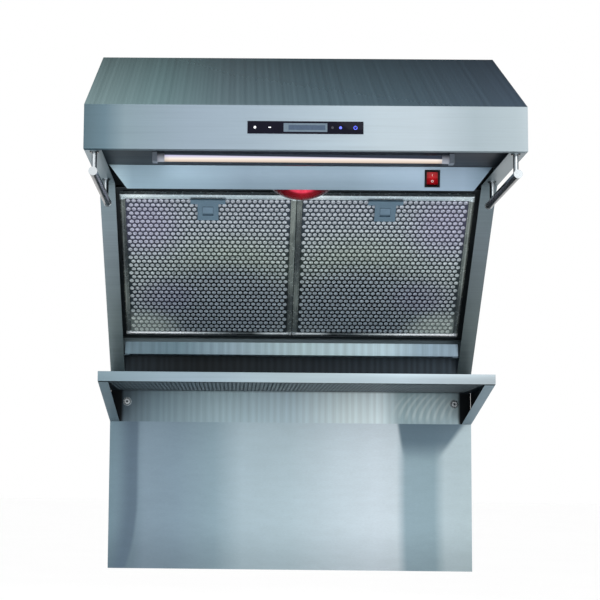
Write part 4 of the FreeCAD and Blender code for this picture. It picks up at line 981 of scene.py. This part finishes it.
def make_filter(side, mirror):
    body = "filter_" + side
    place, size = plate_frame("filter_face_" + side)
    bm = bmesh.new()
    perforate(bm, (size.x, size.y), (30, 34), 0.0045, sides=16)
    thicken(bm, size.z)
    add_piece("filter_perforated_" + side, bm, body, filter_sheet_shade(mirror),
              ("filter_face_" + side,), place)
    place, size = plate_frame("filter_mesh_" + side)
    bm = bmesh.new()
    corrugated_pad(bm, (size.x, size.y, size.z), 0.002, 0.0016, 0.0078)
    add_piece("filter_pad_" + side, bm, body, filter_pad_shade(mirror),
              ("filter_mesh_" + side,), place, 60.0)
    place, size = plate_frame("filter_face_" + side)
    bm = bmesh.new()
    bar = TRIM_BAR * MM
    profile = [(inset * MM, z * MM - MM) for inset, z in FRAME_PROFILE]
    sweep_bar(bm, profile, (size.x / 2 + bar, size.y / 2 + bar), 0.00012)
    round_heel(bm, size.y / 2 + bar)
    add_piece("filter_trim_" + side, bm, body, filter_trim_shade(mirror, size.y / 2),
              ("filter_frame_" + side,), place)


make_filter("left", -1)
make_filter("right", 1)


# ---------------------------------------------------------------- shelf tray

def make_shelf():
    low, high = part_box("shelf_tray")
    wall = 0.0012
    bm = bmesh.new()
    width, depth = high.x - low.x, high.y - low.y
    perforate(bm, (width - 2 * wall, depth - wall), (46, 20), 0.0033, (0.014, 0.016), 8)
    thicken(bm, wall)
    for vertex in bm.verts:
        vertex.co += Vector(((low.x + high.x) / 2, (low.y + wall + high.y) / 2, low.z))
    hem = 0.0042
    block(bm, low, (high.x, low.y + wall, high.z), 0.0004)
    block(bm, (low.x + 0.001, low.y + wall * 0.5, high.z - wall), (high.x - 0.001, low.y + hem, high.z),
          0.0004)
    for x0, x1, h0, h1 in ((low.x, low.x + wall, low.x, low.x + hem),
                           (high.x - wall, high.x, high.x - hem, high.x)):
        block(bm, (x0, low.y + wall, low.z), (x1, high.y, high.z), 0.0004)
        block(bm, (h0 + 0.0002, low.y + hem, high.z - wall), (h1 - 0.0002, high.y, high.z - 0.0002), 0.0003)
    add_piece("shelf_perforated_tray", bm, "casing", FINISHES["shelf_steel"],
              ("shelf_tray",))


make_shelf()


# ---------------------------------------------------------------- control glass and its marks

def ring_mark(bm, x, z, outer, inner, y0, y1, start=0.0, sweep=360.0, sides=28):
    """A flat ring, or part of one, that stands on the glass."""
    rings = []
    for step in range(sides + 1):
        angle = math.radians(start + sweep * step / sides)
        c, s = math.cos(angle), math.sin(angle)
        rings.append([bm.verts.new((x + r * c, y, z + r * s))
                      for r, y in ((outer, y0), (inner, y0), (inner, y1), (outer, y1))])
    for one, two in zip(rings, rings[1:]):
        for index in range(4):
            after = (index + 1) % 4
            bm.faces.new((one[index], one[after], two[after], two[index]))
    if sweep < 360:
        bm.faces.new(rings[0])
        bm.faces.new(rings[-1][::-1])
    else:
        bmesh.ops.remove_doubles(bm, verts=rings[0] + rings[-1], dist=1e-7)


def make_controls():
    low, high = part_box("control_glass")
    middle = (low.z + high.z) / 2
    bm = bmesh.new()
    block(bm, (low.x, low.y + 0.00015, low.z), high, 0.0003, 2)
    add_piece("control_glass_panel", bm, "casing", FINISHES["control_black"],
              ("control_glass",))
    y0, y1 = low.y + 0.00002, low.y + 0.0003
    display_low, display_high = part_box("display_module")
    bm = bmesh.new()
    block(bm, (display_low.x, y0, display_low.z), (display_high.x, y1, display_high.z), 0.00005, 1)
    add_piece("display_window", bm, "casing", FINISHES["display_grey"])
    white = lit_mark("mark_white", rgb(238, 244, 250), 0.9)
    blue = lit_mark("mark_blue", rgb(92, 106, 250), 1.0)
    dim_mark = lit_mark("mark_dim", rgb(50, 52, 62), 0.1)
    spots = (("mark_fan", -0.0867, 0.0021, white), ("mark_clock", 0.0463, 0.0022, dim_mark),
             ("mark_lamp", 0.0602, 0.0023, blue))
    for name, x, radius, material in spots:
        bm = bmesh.new()
        turned(bm, [(0, y0), (radius * 0.9, y0), (radius, y0 + 0.00005), (radius, y1), (0, y1)],
               (x, 0, middle), "y", 28)
        add_piece(name, bm, "casing", material)
    bm = bmesh.new()
    block(bm, (-0.0613 - 0.0022, y0, middle - 0.0007), (-0.0613 + 0.0022, y1, middle + 0.0007), 0.00005, 1)
    add_piece("mark_minus", bm, "casing", white)
    bm = bmesh.new()
    ring_mark(bm, 0.0857, middle, 0.0033, 0.0024, y0, y1, 118, 304)
    block(bm, (0.0857 - 0.0004, y0, middle + 0.0010), (0.0857 + 0.0004, y1, middle + 0.0038), 0.00005, 1)
    add_piece("mark_power", bm, "casing", blue)


make_controls()


# ---------------------------------------------------------------- lamp ends and switch marks

def make_lamp_details():
    low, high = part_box("lamp_tube")
    centre = (low + high) / 2
    radius = (high.z - low.z) / 2
    ferrule = cast("tube_ferrule_white", rgb(176, 180, 192), rgb(160, 166, 178), 300, 0.0, (0.4, 0.5),
                   (0.05, 0.0002), 0.15)
    for side, end, inward in (("left", low.x, 1), ("right", high.x, -1)):
        bm = bmesh.new()
        cap = 0.013
        turned(bm, [(radius * 0.8, 0.0), (radius + 0.0003, 0.0), (radius + 0.0006, cap * 0.15 * inward),
                    (radius + 0.0006, cap * 0.8 * inward), (radius + 0.0001, cap * inward),
                    (radius * 0.8, cap * inward), (radius * 0.8, 0.0)], (end, centre.y, centre.z), "x", 40)
        bmesh.ops.remove_doubles(bm, verts=bm.verts, dist=1e-6)
        add_piece("tube_ferrule_" + side, bm, "casing", ferrule)


make_lamp_details()


def make_switch_marks():
    """A stroke on the upper half of the rocker and a ring on the lower half."""
    mesh = nodes["switch_rocker"].data
    facing = {}
    for polygon in mesh.polygons:
        normal = polygon.normal
        if normal.y < -0.8 and polygon.area > 2e-5:
            key = round(normal.z, 2)
            facing.setdefault(key, []).append(polygon)
    white = lit_mark("switch_mark_white", rgb(226, 214, 214), 0.2)
    centre_x = (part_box("switch_rocker")[0].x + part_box("switch_rocker")[1].x) / 2
    halves = []
    for polygons in facing.values():
        area = sum(polygon.area for polygon in polygons)
        middle = sum((polygon.center * polygon.area for polygon in polygons), Vector()) / area
        halves.append((middle, polygons[0].normal.copy()))
    halves.sort(key=lambda item: -item[0].z)
    for name, (middle, outward) in zip(("rocker_mark_on", "rocker_mark_off"), halves):
        bm = bmesh.new()
        if name == "rocker_mark_on":
            block(bm, (-0.0004, 0.0, -0.0018), (0.0004, 0.00025, 0.0018), 0.00008, 1)
        else:
            ring_mark(bm, 0.0, 0.0, 0.0023, 0.0014, 0.0, 0.00025)
        right = Vector((1, 0, 0))
        up = right.cross(-outward).normalized()
        place = Matrix.Identity(4)
        for column, axis in enumerate((right, outward, up)):
            for row in range(3):
                place[row][column] = axis[row]
        for row in range(3):
            place[row][3] = middle[row]
        place[0][3] = centre_x
        add_piece(name, bm, "rocker", white, (), place)


make_switch_marks()


# ---------------------------------------------------------------- room, light and camera

def make_floor():
    bm = bmesh.new()
    size, level = 30.0, cad_low.z - 0.35
    corners = [bm.verts.new((x * size, y * size, level)) for x, y in ((-1, -1), (1, -1), (1, 1), (-1, 1))]
    bm.faces.new(corners)
    mesh = bpy.data.meshes.new("floor")
    bm.to_mesh(mesh)
    bm.free()
    shade = Shade("floor_pale", 0.0, 0.8)
    cloud = shade.noise((1.5, 1.5, 1.5), 2.0)
    shade.colour(shade.mix(cloud, rgb(252, 252, 252), rgb(255, 255, 255)))
    mesh.materials.append(shade.material)
    floor = bpy.data.objects.new("floor", mesh)
    bpy.context.scene.collection.objects.link(floor)


def add_area(name, place, target, size, power, colour=(1, 1, 1), size_y=None):
    light = bpy.data.lights.new(name, "AREA")
    light.energy = power
    light.color = colour
    light.size = size
    if size_y is not None:
        light.shape = "RECTANGLE"
        light.size_y = size_y
    obj = bpy.data.objects.new(name, light)
    obj.location = place
    obj.rotation_euler = (Vector(target) - Vector(place)).to_track_quat("-Z", "Y").to_euler()
    bpy.context.scene.collection.objects.link(obj)
    return obj


def make_room():
    world = bpy.data.worlds.new("studio")
    world.use_nodes = True
    background = world.node_tree.nodes["Background"]
    background.inputs["Color"].default_value = (1.0, 1.0, 1.0, 1.0)
    background.inputs["Strength"].default_value = 1.0
    bpy.context.scene.world = world
    bpy.context.scene.view_settings.view_transform = "Standard"
    make_floor()
    centre = (cad_low + cad_high) / 2
    add_area("key_soft", (1.6, -2.6, 0.9), centre, 1.6, 12)
    add_area("fill_soft", (-2.2, -1.8, 0.2), centre, 1.6, 5)
    add_area("back_soft", (0.4, 2.6, 1.2), centre, 1.8, 12)
    low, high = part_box("lamp_tube")
    tube = (low + high) / 2
    add_area("tube_light", (tube.x, tube.y, low.z - 0.004), (tube.x, tube.y + 0.5, low.z - 0.30),
             high.x - low.x, 0.12, (1.0, 0.96, 0.95), 0.012)


def make_camera():
    """A long lens a little below the middle of the hood, looking up and slightly to the left."""
    camera_data = bpy.data.cameras.new("camera")
    camera_data.lens = 84.98
    camera_data.sensor_width = 36.0
    camera_data.shift_x = 0.1337
    camera_data.shift_y = 0.0669
    camera_data.clip_end = 100.0
    camera = bpy.data.objects.new("camera", camera_data)
    turn = (Matrix.Rotation(0.0118, 4, "Z") @ Matrix.Rotation(math.radians(90 + 5.5), 4, "X")
            @ Matrix.Rotation(0.0097, 4, "Z"))
    camera.matrix_world = Matrix.Translation((-0.1153, face_y - 2.3856, -0.8163)) @ turn
    bpy.context.scene.collection.objects.link(camera)
    bpy.context.scene.camera = camera


make_room()
make_camera()
